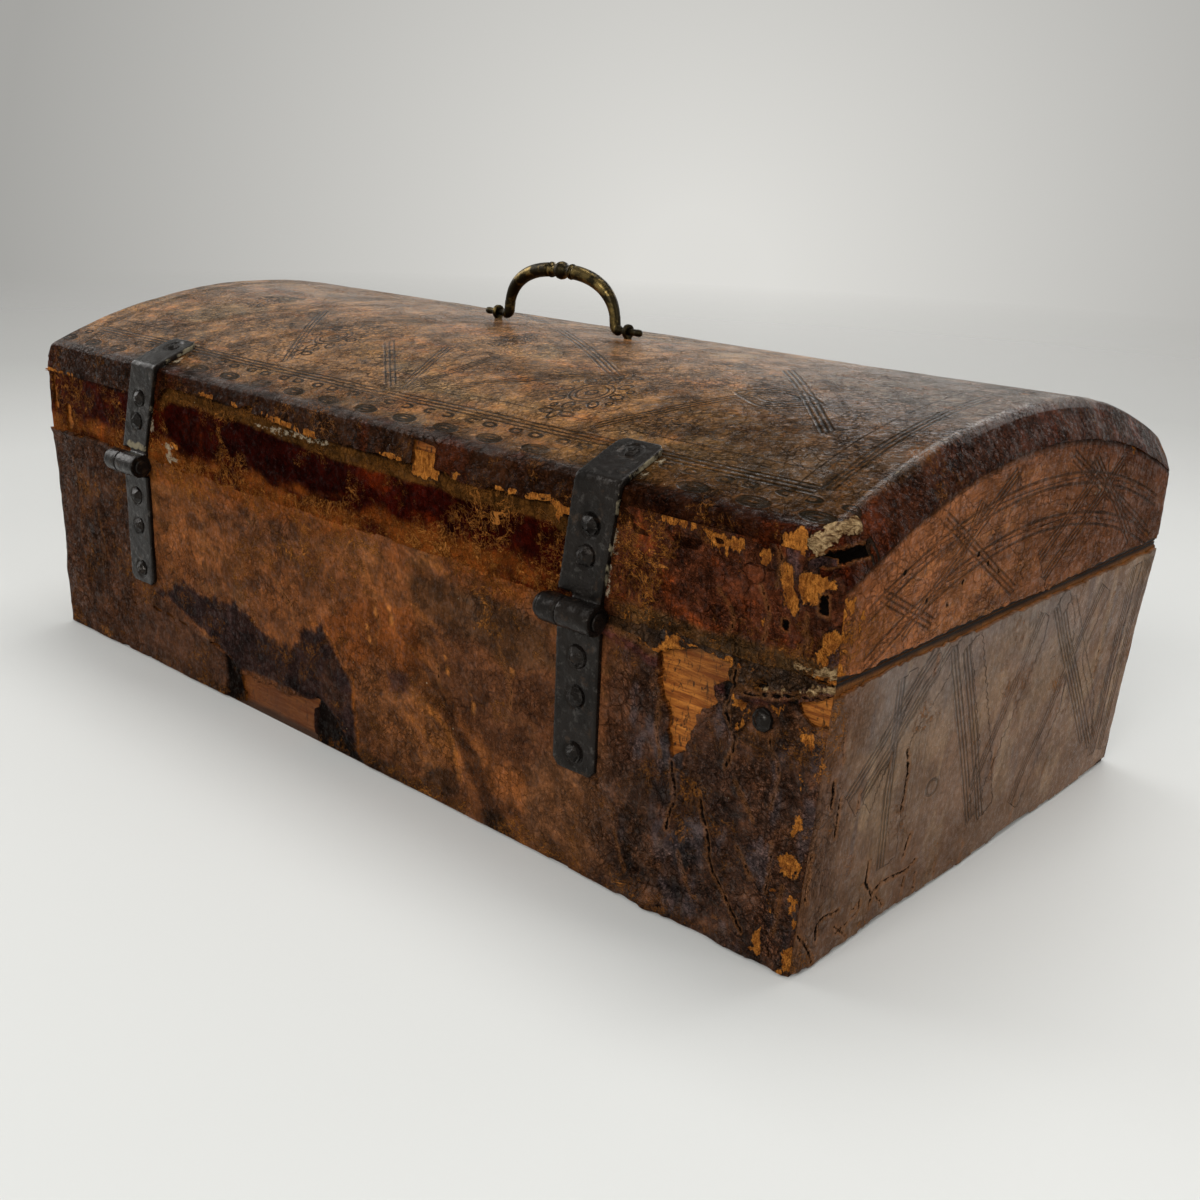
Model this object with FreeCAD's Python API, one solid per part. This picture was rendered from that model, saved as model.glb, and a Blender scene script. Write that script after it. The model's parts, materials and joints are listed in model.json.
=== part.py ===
import FreeCAD, Part
import math
import os

from FreeCAD import Placement, Rotation, Vector

# Leather-covered wooden box with a domed lid, wrought-iron strap hinges and a brass bail handle.
# X runs along the box and Z is up. The lock side faces -Y and the hinge side faces +Y.
# Left and right are as seen by someone who stands before the lock. The floor is at Z = 0.

# Outside of the box, over its leather
box_length = 420.0
box_depth = 214.0
joint_height = 91.0
joint_gap = 0.4
lid_wall_height = 38.0
lid_rise = 23.0
base_end_lean = 6.0
lid_shoulder_inset = 7.0
lid_shoulder_drop = 11.0

# Thicknesses of what the box is built from
leather = 1.4
lining = 0.4
wall_board = 8.0
bottom_board = 9.0
stave = 6.0
stave_count = 5

# Leather and lining edges
foot_lift = 0.8
joint_reveal = 1.4
lining_margin = 2.0

# Strap hinges
left_hinge_inset = 90.0
right_hinge_inset = 76.0
left_hinge_skew = -5.4
right_hinge_skew = -11.0
strap_width = 17.5
strap_thickness = 2.0
strap_bend_round = 2.2
strap_clip = 2.2
flange_length = 18.5
base_strap_foot = 36.0
hinge_axis_drop = 2.5
knuckle_radius = 4.7
knuckle_standoff = 0.4
base_knuckle_length = 7.6
lid_knuckle_length = 13.4
knuckle_overhang = 1.7
knuckle_gap = 0.15
knuckle_sweep_gap = 0.5
pin_radius = 2.0
pin_running_gap = 0.05
pin_fixed_gap = 0.02
pin_head_length = 2.6
pin_head_radius = 4.2
pin_tail_length = 0.9
pin_tail_radius = 2.9
pin_head_flats = 20
pin_head_profile_shares = ((0.0, 1.0), (0.5, 1.0), (0.85, 0.86), (1.0, 0.6))

# Nails that hold the iron, with faceted heads and square tapering shanks
nail_head_radius = 3.8
nail_head_height = 2.4
nail_size = 2.4
nail_tip = 0.8
nail_length = 9.2
flange_nail_head_radius = 2.7
flange_nail_head_height = 1.4
flange_nail_length = 8.4
flange_nail_inset = 5.2
small_nail_head_radius = 2.2
small_nail_head_height = 1.2
small_nail_size = 1.6
small_nail_tip = 0.6
small_nail_length = 7.0
nail_head_sides = 8
nail_head_waist_share = 0.82
nail_head_crown_share = 0.36
nail_head_waist_height_share = 0.5
lid_strap_nail_shares = (0.35, 0.63)
base_strap_nail_shares = (0.20, 0.47, 0.87)
corner_nail_inset = 22.4
corner_nail_drop = 16.6

# Brads that hold the boards, driven flush under the leather
brad_size = 2.2
brad_tip = 0.8
wall_brad_length = 24.0
bottom_brad_length = 26.0
stave_brad_length = 17.0
brad_sink = 0.5
base_wall_brad_shares = (0.24, 0.52, 0.80)
lid_wall_brad_shares = (0.22, 0.68)
bottom_long_brad_shares = (-0.78, -0.4, 0.05, 0.4, 0.78)
bottom_short_brad_shares = (-0.45, 0.45)

# Brass bail handle and the split pins that hold it
handle_x = -4.2
handle_half_span = 28.8
handle_rise = 19.5
handle_leg_radius = 2.1
handle_top_radius = 2.75
handle_lid_gap = 0.4
handle_foot_radius = 1.3
handle_foot_reach = 42.4
handle_bulb_radius = 1.9
handle_bead_radius = 3.5
handle_bead_half_length = 3.2
handle_neck_radius = 2.2
handle_collar_offset = 5.3
handle_collar_radius = 3.1
handle_collar_half_length = 1.1
handle_stations = 10
handle_flats = 20
bead_slope_shares = ((1.0, 0.0), (0.85, 0.45), (0.45, 0.85), (0.0, 1.0))
bulb_profile_shares = ((-1.0, 0.5), (-0.45, 1.0), (0.35, 1.0), (1.0, 0.5))
split_pin_offset = 35.4
split_pin_width = 1.6
split_pin_thickness = 1.4
split_pin_running_gap = 0.08
split_pin_leg_gap = 0.2
split_pin_clench = 7.0
split_pin_hole_gap = 0.25

# Lock on the front, with its staple under the lid
lock_plate_width = 46.0
lock_plate_height = 50.0
lock_plate_thickness = 1.6
lock_plate_drop = 4.0
lock_plate_notch_radius = 5.0
lock_plate_nail_inset = 9.0
keyhole_drop = 31.0
keyhole_radius = 3.4
keyhole_slot_width = 3.2
keyhole_slot_length = 8.0
lock_case_width = 46.0
lock_case_height = 42.0
lock_case_depth = 9.0
lock_case_wall = 1.5
lock_case_drop = 1.6
lock_ear_width = 8.0
lock_ear_height = 30.0
lock_post_radius = 1.2
lock_post_gap = 0.3
tongue_thickness = 3.0
tongue_depth = 6.0
tongue_length = 13.0
tongue_board_gap = 0.4
tongue_slot_gap = 0.6
tongue_eye = 3.6
tongue_eye_drop = 9.4
staple_plate_width = 26.0
staple_plate_height = 13.0
staple_plate_thickness = 2.0
staple_plate_lift = 0.3
staple_nail_offset = 8.5
bolt_eye_gap = 0.3
bolt_guide_gap = 0.2
bolt_nose_length = 6.0
bolt_tongue_gap = 0.8
bolt_body_length = 12.0
bolt_body_height = 8.0
bolt_notch_width = 4.0
bolt_notch_depth = 2.5
keeper_width = 4.0
keeper_wall = 1.3

# How far a cutting shape runs past what it cuts
overrun = 5.0

# Places that several pieces share
half_depth = box_depth / 2
half_length = box_length / 2
spring_height = joint_height + lid_wall_height
crest_height = spring_height + lid_rise
arch_radius = (half_depth ** 2 + lid_rise ** 2) / (2 * lid_rise)
arch_centre = crest_height - arch_radius
base_rim = joint_height - joint_gap
board_y = half_depth - leather
inner_y = board_y - wall_board
left_hinge_x = -half_length + left_hinge_inset
right_hinge_x = half_length - right_hinge_inset
hinge_y = half_depth + knuckle_standoff + knuckle_radius
hinge_z = joint_height - hinge_axis_drop
handle_z = crest_height + handle_leg_radius + handle_lid_gap

pieces = {}


def closed_face(points):
    return Part.Face(Part.makePolygon(points + [points[0]]))


def prism_xz(points, y_low, y_high):
    face = closed_face([Vector(x, y_low, z) for x, z in points])
    return face.extrude(Vector(0, y_high - y_low, 0))


def prism_yz(points, x_low, x_high):
    face = closed_face([Vector(x_low, y, z) for y, z in points])
    return face.extrude(Vector(x_high - x_low, 0, 0))


def prism_xy(points, z_low, z_high):
    face = closed_face([Vector(x, y, z_low) for x, y in points])
    return face.extrude(Vector(0, 0, z_high - z_low))


def block(x_low, x_high, y_low, y_high, z_low, z_high):
    corner = Vector(x_low, y_low, z_low)
    return Part.makeBox(x_high - x_low, y_high - y_low, z_high - z_low, corner)


def rod(radius, start, end):
    return Part.makeCylinder(radius, (end - start).Length, start, end - start)


def join(shapes):
    whole = shapes[0]
    for shape in shapes[1:]:
        whole = whole.fuse(shape)
    return whole.removeSplitter()


def faceted(rings):
    # A solid with flat faces through rings of points, each ring as many as the last
    faces = [closed_face(rings[0]), closed_face(rings[-1])]
    for low, high in zip(rings, rings[1:]):
        for index in range(len(low)):
            after = (index + 1) % len(low)
            faces.append(closed_face([low[index], low[after], high[after]]))
            faces.append(closed_face([low[index], high[after], high[index]]))
    solid = Part.makeSolid(Part.makeShell(faces)).removeSplitter()
    if solid.Volume < 0:
        solid.reverse()
    return solid


def turned(profile, centre, flats):
    # A turned shape along X with narrow flats. The profile lists (along X, radius) from
    # the centre.
    rings = []
    for along, radius in profile:
        ring = []
        for index in range(flats):
            angle = 2 * math.pi * index / flats
            offset = Vector(0, math.cos(angle), math.sin(angle)) * radius
            ring.append(centre + Vector(along, 0, 0) + offset)
        rings.append(ring)
    return faceted(rings)


def cut_from(names, tool):
    for name in names:
        pieces[name] = pieces[name].cut(tool)


# Envelopes: the outside of the base and of the lid, drawn in by a stated amount

def base_half(height, inset):
    return half_length - base_end_lean * (joint_height - height) / joint_height - inset


def base_envelope(inset, low, high, end_inset=None):
    ends = inset if end_inset is None else end_inset
    outline = [(-base_half(low, ends), low), (base_half(low, ends), low)]
    outline += [(base_half(high, ends), high), (-base_half(high, ends), high)]
    return prism_xz(outline, -half_depth + inset, half_depth - inset)


def lid_envelope(inset):
    slope = math.hypot(lid_shoulder_inset, lid_shoulder_drop)
    wall_x = half_length - inset
    wall_r = arch_radius - lid_shoulder_drop
    wall_r -= inset * (slope - lid_shoulder_drop) / lid_shoulder_inset
    crest_x = half_length - lid_shoulder_inset
    crest_x -= inset * (slope - lid_shoulder_inset) / lid_shoulder_drop
    crest_r = arch_radius - inset
    half_profile = [(wall_x, 0), (wall_x, wall_r), (crest_x, crest_r)]
    profile = half_profile + [(-x, r) for x, r in reversed(half_profile)]
    face = closed_face([Vector(x, 0, arch_centre + r) for x, r in profile])
    barrel = face.revolve(Vector(0, 0, arch_centre), Vector(1, 0, 0), 360)
    side = half_depth - inset
    keep = block(-box_length, box_length, -side, side, joint_height, crest_height + overrun)
    return barrel.common(keep)


def arch_cylinder(radius):
    start = Vector(-box_length, 0, arch_centre)
    return Part.makeCylinder(radius, 2 * box_length, start, Vector(1, 0, 0))


# Base: a nailed carcase of five boards

def build_base_boards():
    pieces["bottom_board"] = base_envelope(leather, 0, bottom_board)
    wall = base_envelope(leather, bottom_board, base_rim)
    for name, side in (("base_front_board", -1), ("base_back_board", 1)):
        y_low, y_high = sorted((side * inner_y, side * board_y))
        slab = block(-box_length, box_length, y_low, y_high, 0, joint_height)
        pieces[name] = wall.common(slab)
    hollow = base_envelope(leather, 0, joint_height, leather + wall_board)
    ends = wall.cut(hollow)
    for name, side in (("base_left_end_board", -1), ("base_right_end_board", 1)):
        x_low, x_high = sorted((0, side * box_length))
        slab = block(x_low, x_high, -inner_y, inner_y, 0, joint_height)
        pieces[name] = ends.common(slab)


# Lid: two rails, two arched end boards and coopered staves that make the dome

def stave_angles():
    reach = math.asin(board_y / (arch_radius - leather))
    step = 2 * reach / stave_count
    return [-reach + index * step for index in range(stave_count + 1)]


def dome_underside(depth):
    # The staves are flat beneath, so the underside of the dome is a row of chords.
    # depth is how far below the staves' underside the chords lie.
    angles = stave_angles()
    half_step = (angles[1] - angles[0]) / 2
    radius = arch_radius - leather - stave - depth / math.cos(half_step)
    row = [(radius * math.sin(a), arch_centre + radius * math.cos(a)) for a in angles]
    (y_first, z_first), (y_next, z_next) = row[0], row[1]
    edge_y = -half_depth - overrun
    slope = (z_next - z_first) / (y_next - y_first)
    edge_z = z_first + slope * (edge_y - y_first)
    outline = [(edge_y, 0), (edge_y, edge_z)] + row[1:-1] + [(-edge_y, edge_z), (-edge_y, 0)]
    return prism_yz(outline, -box_length, box_length)


def build_lid_boards():
    body = lid_envelope(leather)
    under = body.common(dome_underside(0))
    for name, side in (("lid_front_rail", -1), ("lid_back_rail", 1)):
        y_low, y_high = sorted((side * inner_y, side * board_y))
        slab = block(-box_length, box_length, y_low, y_high, 0, crest_height)
        pieces[name] = under.common(slab)
    inner_x = half_length - leather - wall_board
    for name, side in (("lid_left_end_board", -1), ("lid_right_end_board", 1)):
        x_low, x_high = sorted((side * inner_x, side * box_length))
        slab = block(x_low, x_high, -inner_y, inner_y, 0, crest_height)
        pieces[name] = under.common(slab)
    dome = body.cut(dome_underside(0))
    angles = stave_angles()
    step = angles[1] - angles[0]
    for index in range(stave_count):
        first = angles[index] - (step if index == 0 else 0)
        last = angles[index + 1] + (step if index == stave_count - 1 else 0)
        far = 2 * arch_radius
        wedge = [(0, arch_centre)]
        wedge += [(far * math.sin(a), arch_centre + far * math.cos(a)) for a in (first, last)]
        name = "lid_stave_%d" % (index + 1)
        pieces[name] = dome.common(prism_yz(wedge, -box_length, box_length))


# Leather: one sheet on each side of the base and of the lid, and one over the dome that
# is turned down over the others on all four sides

def split_sides(ring, part_name, end_low, end_high):
    far = box_length
    for name, side in (("front", -1), ("back", 1)):
        y_low, y_high = sorted((side * board_y, side * far))
        slab = block(-far, far, y_low, y_high, 0, crest_height)
        pieces[part_name + "_leather_" + name] = ring.common(slab)
    for name, side in (("left_end", -1), ("right_end", 1)):
        x_low, x_high = sorted((0, side * far))
        slab = block(x_low, x_high, -board_y, board_y, end_low, end_high)
        pieces[part_name + "_leather_" + name] = ring.common(slab)


def build_leather():
    outer = base_envelope(0, foot_lift, base_rim)
    ring = outer.cut(base_envelope(leather, 0, joint_height))
    split_sides(ring, "base", foot_lift, base_rim - joint_reveal)
    shell = lid_envelope(0).cut(lid_envelope(leather))
    turn_down = arch_cylinder(arch_radius - lid_shoulder_drop)
    pieces["lid_leather_top"] = shell.cut(turn_down)
    split_sides(shell.common(turn_down), "lid", joint_height + joint_reveal, crest_height)


# Paper lining: a pasted skin inside the base and inside the lid

def build_lining():
    ends = leather + wall_board
    top = base_rim - lining_margin
    cavity = base_envelope(ends, bottom_board, top, ends)
    space = base_envelope(ends + lining, bottom_board + lining, joint_height, ends + lining)
    pieces["base_lining"] = cavity.cut(space)
    inner_x = half_length - leather - wall_board
    low = joint_height + lining_margin
    cavity = block(-inner_x, inner_x, -inner_y, inner_y, low, crest_height)
    cavity = cavity.common(dome_underside(0))
    deep_x = inner_x - lining
    deep_y = inner_y - lining
    space = block(-deep_x, deep_x, -deep_y, deep_y, 0, crest_height)
    space = space.common(dome_underside(lining))
    pieces["lid_lining"] = cavity.cut(space)


# Nails and brads

def square(size, height):
    half = size / 2
    corners = [(-half, -half), (half, -half), (half, half), (-half, half)]
    return [Vector(x, y, height) for x, y in corners]


def shank(size, tip, length):
    # A square taper that points down from the origin, where it has its full size
    return faceted([square(tip, -length), square(size, 0)])


def head(radius, height):
    # A hammered head: facets that draw in from the rim to a small crown
    rings = ((1, 0), (nail_head_waist_share, nail_head_waist_height_share))
    rings += ((nail_head_crown_share, 1),)
    outlines = []
    for width_share, height_share in rings:
        corners = []
        for index in range(nail_head_sides):
            angle = 2 * math.pi * (index + 1 / 2) / nail_head_sides
            x = radius * width_share * math.cos(angle)
            y = radius * width_share * math.sin(angle)
            corners.append(Vector(x, y, height * height_share))
        outlines.append(corners)
    return faceted(outlines)


def aim(shape, place, direction):
    # Sets a shape that points down so that it points along direction from place
    turned = shape.copy()
    turned.Placement = Placement(place, Rotation(Vector(0, 0, -1), direction))
    return turned


def drive(places, carriers, sizes):
    # Drives a nail at each place through the carriers and returns the nails
    radius, height, size, tip, length = sizes
    nails = []
    for place, direction in places:
        body = shank(size, tip, length)
        hole = aim(body, place, direction)
        cut_from(carriers, hole)
        nails.append(aim(head(radius, height).fuse(body), place, direction))
    return Part.makeCompound(nails)


strap_nail = (nail_head_radius, nail_head_height, nail_size, nail_tip, nail_length)
flange_nail = (flange_nail_head_radius, flange_nail_head_height, nail_size, nail_tip)
flange_nail += (flange_nail_length,)
small_nail = (small_nail_head_radius, small_nail_head_height, small_nail_size)
small_nail += (small_nail_tip, small_nail_length)


def build_brads():
    envelope = base_envelope(leather, 0, base_rim)
    wall_height = base_rim - bottom_board
    base_brads = []
    for share in base_wall_brad_shares:
        height = bottom_board + wall_height * share
        x = base_half(height, leather + wall_board / 2)
        for side_x in (-1, 1):
            for side_y in (-1, 1):
                place = Vector(side_x * x, side_y * board_y, height)
                brad = shank(brad_size, brad_tip, wall_brad_length)
                brad = aim(brad, place, Vector(0, -side_y, 0))
                base_brads.append(brad.common(envelope))
    cut_from(("base_front_board", "base_back_board"), Part.makeCompound(base_brads))
    cut_from(("base_left_end_board", "base_right_end_board"), Part.makeCompound(base_brads))
    pieces["base_wall_brads"] = Part.makeCompound(base_brads)

    places = []
    wall_y = board_y - wall_board / 2
    wall_x = base_half(bottom_board, leather + wall_board / 2)
    for share in bottom_long_brad_shares:
        places += [(wall_x * share, wall_y), (wall_x * share, -wall_y)]
    for share in bottom_short_brad_shares:
        places += [(wall_x, wall_y * share), (-wall_x, wall_y * share)]
    bottom_brads = []
    for x, y in places:
        brad = shank(brad_size, brad_tip, bottom_brad_length)
        bottom_brads.append(aim(brad, Vector(x, y, brad_sink), Vector(0, 0, 1)))
    group = Part.makeCompound(bottom_brads)
    cut_from(("base_front_board", "base_back_board"), group)
    cut_from(("base_left_end_board", "base_right_end_board"), group)
    sinks = [block(x - brad_size / 2, x + brad_size / 2, y - brad_size / 2, y + brad_size / 2,
                   0, brad_sink) for x, y in places]
    cut_from(("bottom_board",), Part.makeCompound(bottom_brads + sinks))
    pieces["bottom_brads"] = group

    body = lid_envelope(leather)
    rail_height = spring_height - joint_height
    end_x = half_length - leather - wall_board / 2
    lid_brads = []
    for share in lid_wall_brad_shares:
        height = joint_height + rail_height * share
        for side_x in (-1, 1):
            for side_y in (-1, 1):
                place = Vector(side_x * end_x, side_y * board_y, height)
                brad = shank(brad_size, brad_tip, wall_brad_length)
                lid_brads.append(aim(brad, place, Vector(0, -side_y, 0)))
    group = Part.makeCompound(lid_brads)
    cut_from(("lid_front_rail", "lid_back_rail"), group)
    cut_from(("lid_left_end_board", "lid_right_end_board"), group)
    pieces["lid_wall_brads"] = group

    angles = stave_angles()
    stave_brads = []
    for index in range(stave_count):
        angle = (angles[index] + angles[index + 1]) / 2
        outward = Vector(0, math.sin(angle), math.cos(angle))
        place = Vector(0, 0, arch_centre) + outward * (arch_radius - leather)
        for side_x in (-1, 1):
            brad = shank(brad_size, brad_tip, stave_brad_length)
            brad = aim(brad, place + Vector(side_x * end_x, 0, 0), outward * -1)
            brad = brad.common(body)
            cut_from(("lid_stave_%d" % (index + 1),), brad)
            stave_brads.append(brad)
    group = Part.makeCompound(stave_brads)
    cut_from(("lid_left_end_board", "lid_right_end_board"), group)
    cut_from(("lid_front_rail", "lid_back_rail"), group)
    pieces["lid_stave_brads"] = group


# Strap hinges: two iron leaves with rolled eyes, and a headed pin through the eyes

def eye(x_low, x_high, bore_radius):
    ring = rod(knuckle_radius, Vector(x_low, hinge_y, hinge_z), Vector(x_high, hinge_y, hinge_z))
    start = Vector(x_low - overrun, hinge_y, hinge_z)
    return ring, rod(bore_radius, start, Vector(x_high + overrun, hinge_y, hinge_z))


def hinge_places(x):
    base_high = x + strap_width / 2 + knuckle_overhang
    base_low = base_high - base_knuckle_length
    lid_high = base_low - knuckle_gap
    lid_low = lid_high - lid_knuckle_length
    return base_low, base_high, lid_low, lid_high


def base_leaf(x):
    base_low, base_high, lid_low, lid_high = hinge_places(x)
    left = x - strap_width / 2
    right = x + strap_width / 2
    sweep_z = hinge_z - knuckle_radius - knuckle_sweep_gap
    outline = [(left + strap_clip, base_strap_foot), (right - strap_clip, base_strap_foot)]
    outline += [(right, base_strap_foot + strap_clip), (right, hinge_z)]
    outline += [(base_low, hinge_z), (base_low, sweep_z)]
    outline += [(left, sweep_z), (left, base_strap_foot + strap_clip)]
    plate = prism_xz(outline, half_depth, half_depth + strap_thickness)
    ring, bore = eye(base_low, base_high, pin_radius + pin_fixed_gap)
    return join([plate, ring]).cut(bore)


def lid_strap_section(x_low, x_high):
    # The strap stands against the back of the lid and is bent over the dome
    def on_arch(y, lift):
        return arch_centre + math.sqrt((arch_radius + lift) ** 2 - y ** 2)

    outer_y = half_depth + strap_thickness
    end_y = half_depth - flange_length
    bend_y = outer_y - strap_bend_round
    corner_z = on_arch(outer_y, strap_thickness)
    middle_y = (bend_y + outer_y) / 2
    drop = strap_bend_round * (1 - math.cos(math.pi / 4)) / 2

    def at(y, z):
        return Vector(x_low, y, z)

    inner_mid_y = (half_depth + end_y) / 2
    outer_mid_y = (bend_y + end_y) / 2
    edges = [
        Part.LineSegment(at(half_depth, hinge_z), at(outer_y, hinge_z)),
        Part.LineSegment(at(outer_y, hinge_z), at(outer_y, corner_z - strap_bend_round)),
        Part.Arc(at(outer_y, corner_z - strap_bend_round),
                 at(outer_y - drop, corner_z - drop),
                 at(bend_y, on_arch(bend_y, strap_thickness))),
        Part.Arc(at(bend_y, on_arch(bend_y, strap_thickness)),
                 at(outer_mid_y, on_arch(outer_mid_y, strap_thickness)),
                 at(end_y, on_arch(end_y, strap_thickness))),
        Part.LineSegment(at(end_y, on_arch(end_y, strap_thickness)), at(end_y, on_arch(end_y, 0))),
        Part.Arc(at(end_y, on_arch(end_y, 0)),
                 at(inner_mid_y, on_arch(inner_mid_y, 0)),
                 at(half_depth, spring_height)),
        Part.LineSegment(at(half_depth, spring_height), at(half_depth, hinge_z)),
    ]
    wire = Part.Wire([edge.toShape() for edge in edges])
    return Part.Face(wire).extrude(Vector(x_high - x_low, 0, 0))


def strap_middle(x, skew, share):
    # The strap leans sideways by skew between its eye and its bend
    low = hinge_z + knuckle_radius + knuckle_sweep_gap
    return x + skew * share, low + (spring_height - low) * share


def lid_leaf(x, skew):
    base_low, base_high, lid_low, lid_high = hinge_places(x)
    half = strap_width / 2
    x_low, z_low = strap_middle(x, skew, 0)
    x_bend, z_bend = strap_middle(x, skew, 1)
    top = crest_height + overrun
    outline = [(lid_high, hinge_z), (lid_high, z_low), (x_low + half, z_low)]
    outline += [(x_bend + half, z_bend), (x_bend + half, top), (x_bend - half, top)]
    outline += [(x_bend - half, z_bend), (x_low - half, z_low), (x_low - half, hinge_z)]
    reach = strap_width + abs(skew)
    section = lid_strap_section(x - reach, x + reach)
    plate = section.common(prism_xz(outline, 0, box_depth))
    end_y = half_depth - flange_length
    plan = [(x_bend - half + strap_clip, end_y), (x_bend + half - strap_clip, end_y)]
    plan += [(x_bend + half, end_y + strap_clip), (x + reach, half_depth - strap_clip)]
    plan += [(x + reach, box_depth), (x - reach, box_depth)]
    plan += [(x - reach, half_depth - strap_clip), (x_bend - half, end_y + strap_clip)]
    plate = plate.common(prism_xy(plan, 0, top))
    ring, bore = eye(lid_low, lid_high, pin_radius + pin_running_gap)
    return join([plate, ring]).cut(bore)


def hinge_pin(x):
    base_low, base_high, lid_low, lid_high = hinge_places(x)
    tail_x = lid_low - knuckle_gap
    shaft = rod(pin_radius, Vector(tail_x, hinge_y, hinge_z), Vector(base_high, hinge_y, hinge_z))
    tail = rod(pin_tail_radius, Vector(tail_x - pin_tail_length, hinge_y, hinge_z),
               Vector(tail_x, hinge_y, hinge_z))
    profile = [(pin_head_length * along_share, pin_head_radius * width_share)
               for along_share, width_share in pin_head_profile_shares]
    cap = turned(profile, Vector(base_high, hinge_y, hinge_z), pin_head_flats)
    return join([shaft, tail, cap])


def build_hinges():
    places = (("left", left_hinge_x, left_hinge_skew), ("right", right_hinge_x, right_hinge_skew))
    for side, x, skew in places:
        prefix = "hinge_" + side
        pieces[prefix + "_base_leaf"] = base_leaf(x)
        pieces[prefix + "_lid_leaf"] = lid_leaf(x, skew)
        pieces[prefix + "_pin"] = hinge_pin(x)

        inward = Vector(0, -1, 0)
        face_y = half_depth + strap_thickness
        top = hinge_z - knuckle_radius - knuckle_sweep_gap
        spots = []
        for share in base_strap_nail_shares:
            spots.append((Vector(x, face_y, top - (top - base_strap_foot) * share), inward))
        carriers = (prefix + "_base_leaf", "base_leather_back", "base_back_board")
        pieces[prefix + "_base_nails"] = drive(spots, carriers, strap_nail)

        spots = []
        for share in lid_strap_nail_shares:
            nail_x, nail_z = strap_middle(x, skew, share)
            spots.append((Vector(nail_x, face_y, nail_z), inward))
        carriers = (prefix + "_lid_leaf", "lid_leather_back", "lid_back_rail")
        back_nails = drive(spots, carriers, strap_nail)

        nail_y = half_depth - flange_length + flange_nail_inset
        outer_radius = arch_radius + strap_thickness
        angle = math.asin(nail_y / outer_radius)
        outward = Vector(0, math.sin(angle), math.cos(angle))
        spot = Vector(x + skew, 0, arch_centre) + outward * outer_radius
        last_stave = "lid_stave_%d" % stave_count
        carriers = (prefix + "_lid_leaf", "lid_leather_top", last_stave, "lid_back_rail")
        top_nail = drive([(spot, outward * -1)], carriers, flange_nail)
        nails = back_nails.Solids + top_nail.Solids
        pieces[prefix + "_lid_nails"] = Part.makeCompound(nails)

    nail_z = joint_height - corner_nail_drop
    spot = Vector(-half_length + corner_nail_inset, half_depth, nail_z)
    carriers = ("base_leather_back", "base_back_board")
    pieces["corner_nail"] = drive([(spot, Vector(0, -1, 0))], carriers, strap_nail).Solids[0]


# Handle: a bail of cast brass, filed to many narrow flats, with a turned bead between two
# collars at its crest

def handle_point(angle):
    x = handle_x + handle_half_span * math.cos(angle)
    return Vector(x, 0, handle_z + handle_rise * math.sin(angle))


def handle_arm():
    # Half of the bail, from its foot to its collar, thickening on the way
    last = math.acos(handle_collar_offset / handle_half_span)
    rings = []
    for index in range(handle_stations):
        share = index / (handle_stations - 1)
        angle = last * share
        along = Vector(-handle_half_span * math.sin(angle), 0, handle_rise * math.cos(angle))
        across = Vector(0, 1, 0).cross(along.normalize())
        radius = handle_leg_radius + (handle_top_radius - handle_leg_radius) * share
        ring = []
        for flat in range(handle_flats):
            turn = 2 * math.pi * flat / handle_flats
            offset = across * math.cos(turn) + Vector(0, math.sin(turn), 0)
            ring.append(handle_point(angle) + offset * radius)
        rings.append(ring)
    return faceted(rings)


def handle_foot():
    # The ankle where the arm turns outwards, the thin foot and the bulb at its end
    leg = handle_leg_radius
    shoulder = (leg + handle_foot_radius) / 2
    profile = [(-leg, shoulder), (-leg / 2, leg), (leg / 2, leg), (leg, handle_foot_radius)]
    ankle = turned(profile, handle_point(0), handle_flats)
    toe = Vector(handle_x + handle_foot_reach - handle_bulb_radius, 0, handle_z)
    profile = [(handle_bulb_radius * along_share, handle_bulb_radius * width_share)
               for along_share, width_share in bulb_profile_shares]
    bulb = turned(profile, toe, handle_flats)
    return [ankle, rod(handle_foot_radius, handle_point(0), toe), bulb]


def handle_knop():
    # The bead at the crest between two collars, all turned on one neck
    collar = [(handle_collar_offset - handle_collar_half_length, handle_neck_radius)]
    collar.append((handle_collar_offset, handle_collar_radius))
    collar.append((handle_collar_offset + handle_collar_half_length, handle_neck_radius))
    slope = []
    for along_share, height_share in reversed(bead_slope_shares):
        height = (handle_bead_radius - handle_neck_radius) * height_share
        slope.append((handle_bead_half_length * along_share, handle_neck_radius + height))
    right = slope + collar
    left = [(-x, radius) for x, radius in reversed(right[1:])]
    return turned(left + right, Vector(handle_x, 0, handle_z + handle_rise), handle_flats)


def build_handle():
    half = join([handle_arm()] + handle_foot())
    other = half.mirror(Vector(handle_x, 0, 0), Vector(1, 0, 0))
    pieces["handle_bail"] = join([half, other, handle_knop()])


def split_pin(x):
    # A strip of brass bent to a ring round the bail's foot, whose two legs go down
    # through the lid and are bent apart beneath it
    half = split_pin_width / 2
    bore = handle_foot_radius + split_pin_running_gap
    low = Vector(x - half, 0, handle_z)
    high = Vector(x + half, 0, handle_z)
    ring = rod(bore + split_pin_thickness, low, high).cut(rod(bore, low, high))
    angles = stave_angles()
    half_step = (angles[1] - angles[0]) / 2
    inside = arch_centre + (arch_radius - leather - stave) * math.cos(half_step)
    clench_z = inside - lining
    leg_top = handle_z - bore - split_pin_thickness / 2
    leg_in = split_pin_leg_gap / 2
    shapes = [ring]
    for side in (-1, 1):
        near, far = sorted((side * leg_in, side * (leg_in + split_pin_thickness)))
        bottom = clench_z - split_pin_thickness
        shapes.append(block(x - half, x + half, near, far, bottom, leg_top))
        near, far = sorted((side * leg_in, side * (leg_in + split_pin_clench)))
        shapes.append(block(x - half, x + half, near, far, bottom, clench_z))
    return join(shapes)


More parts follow.
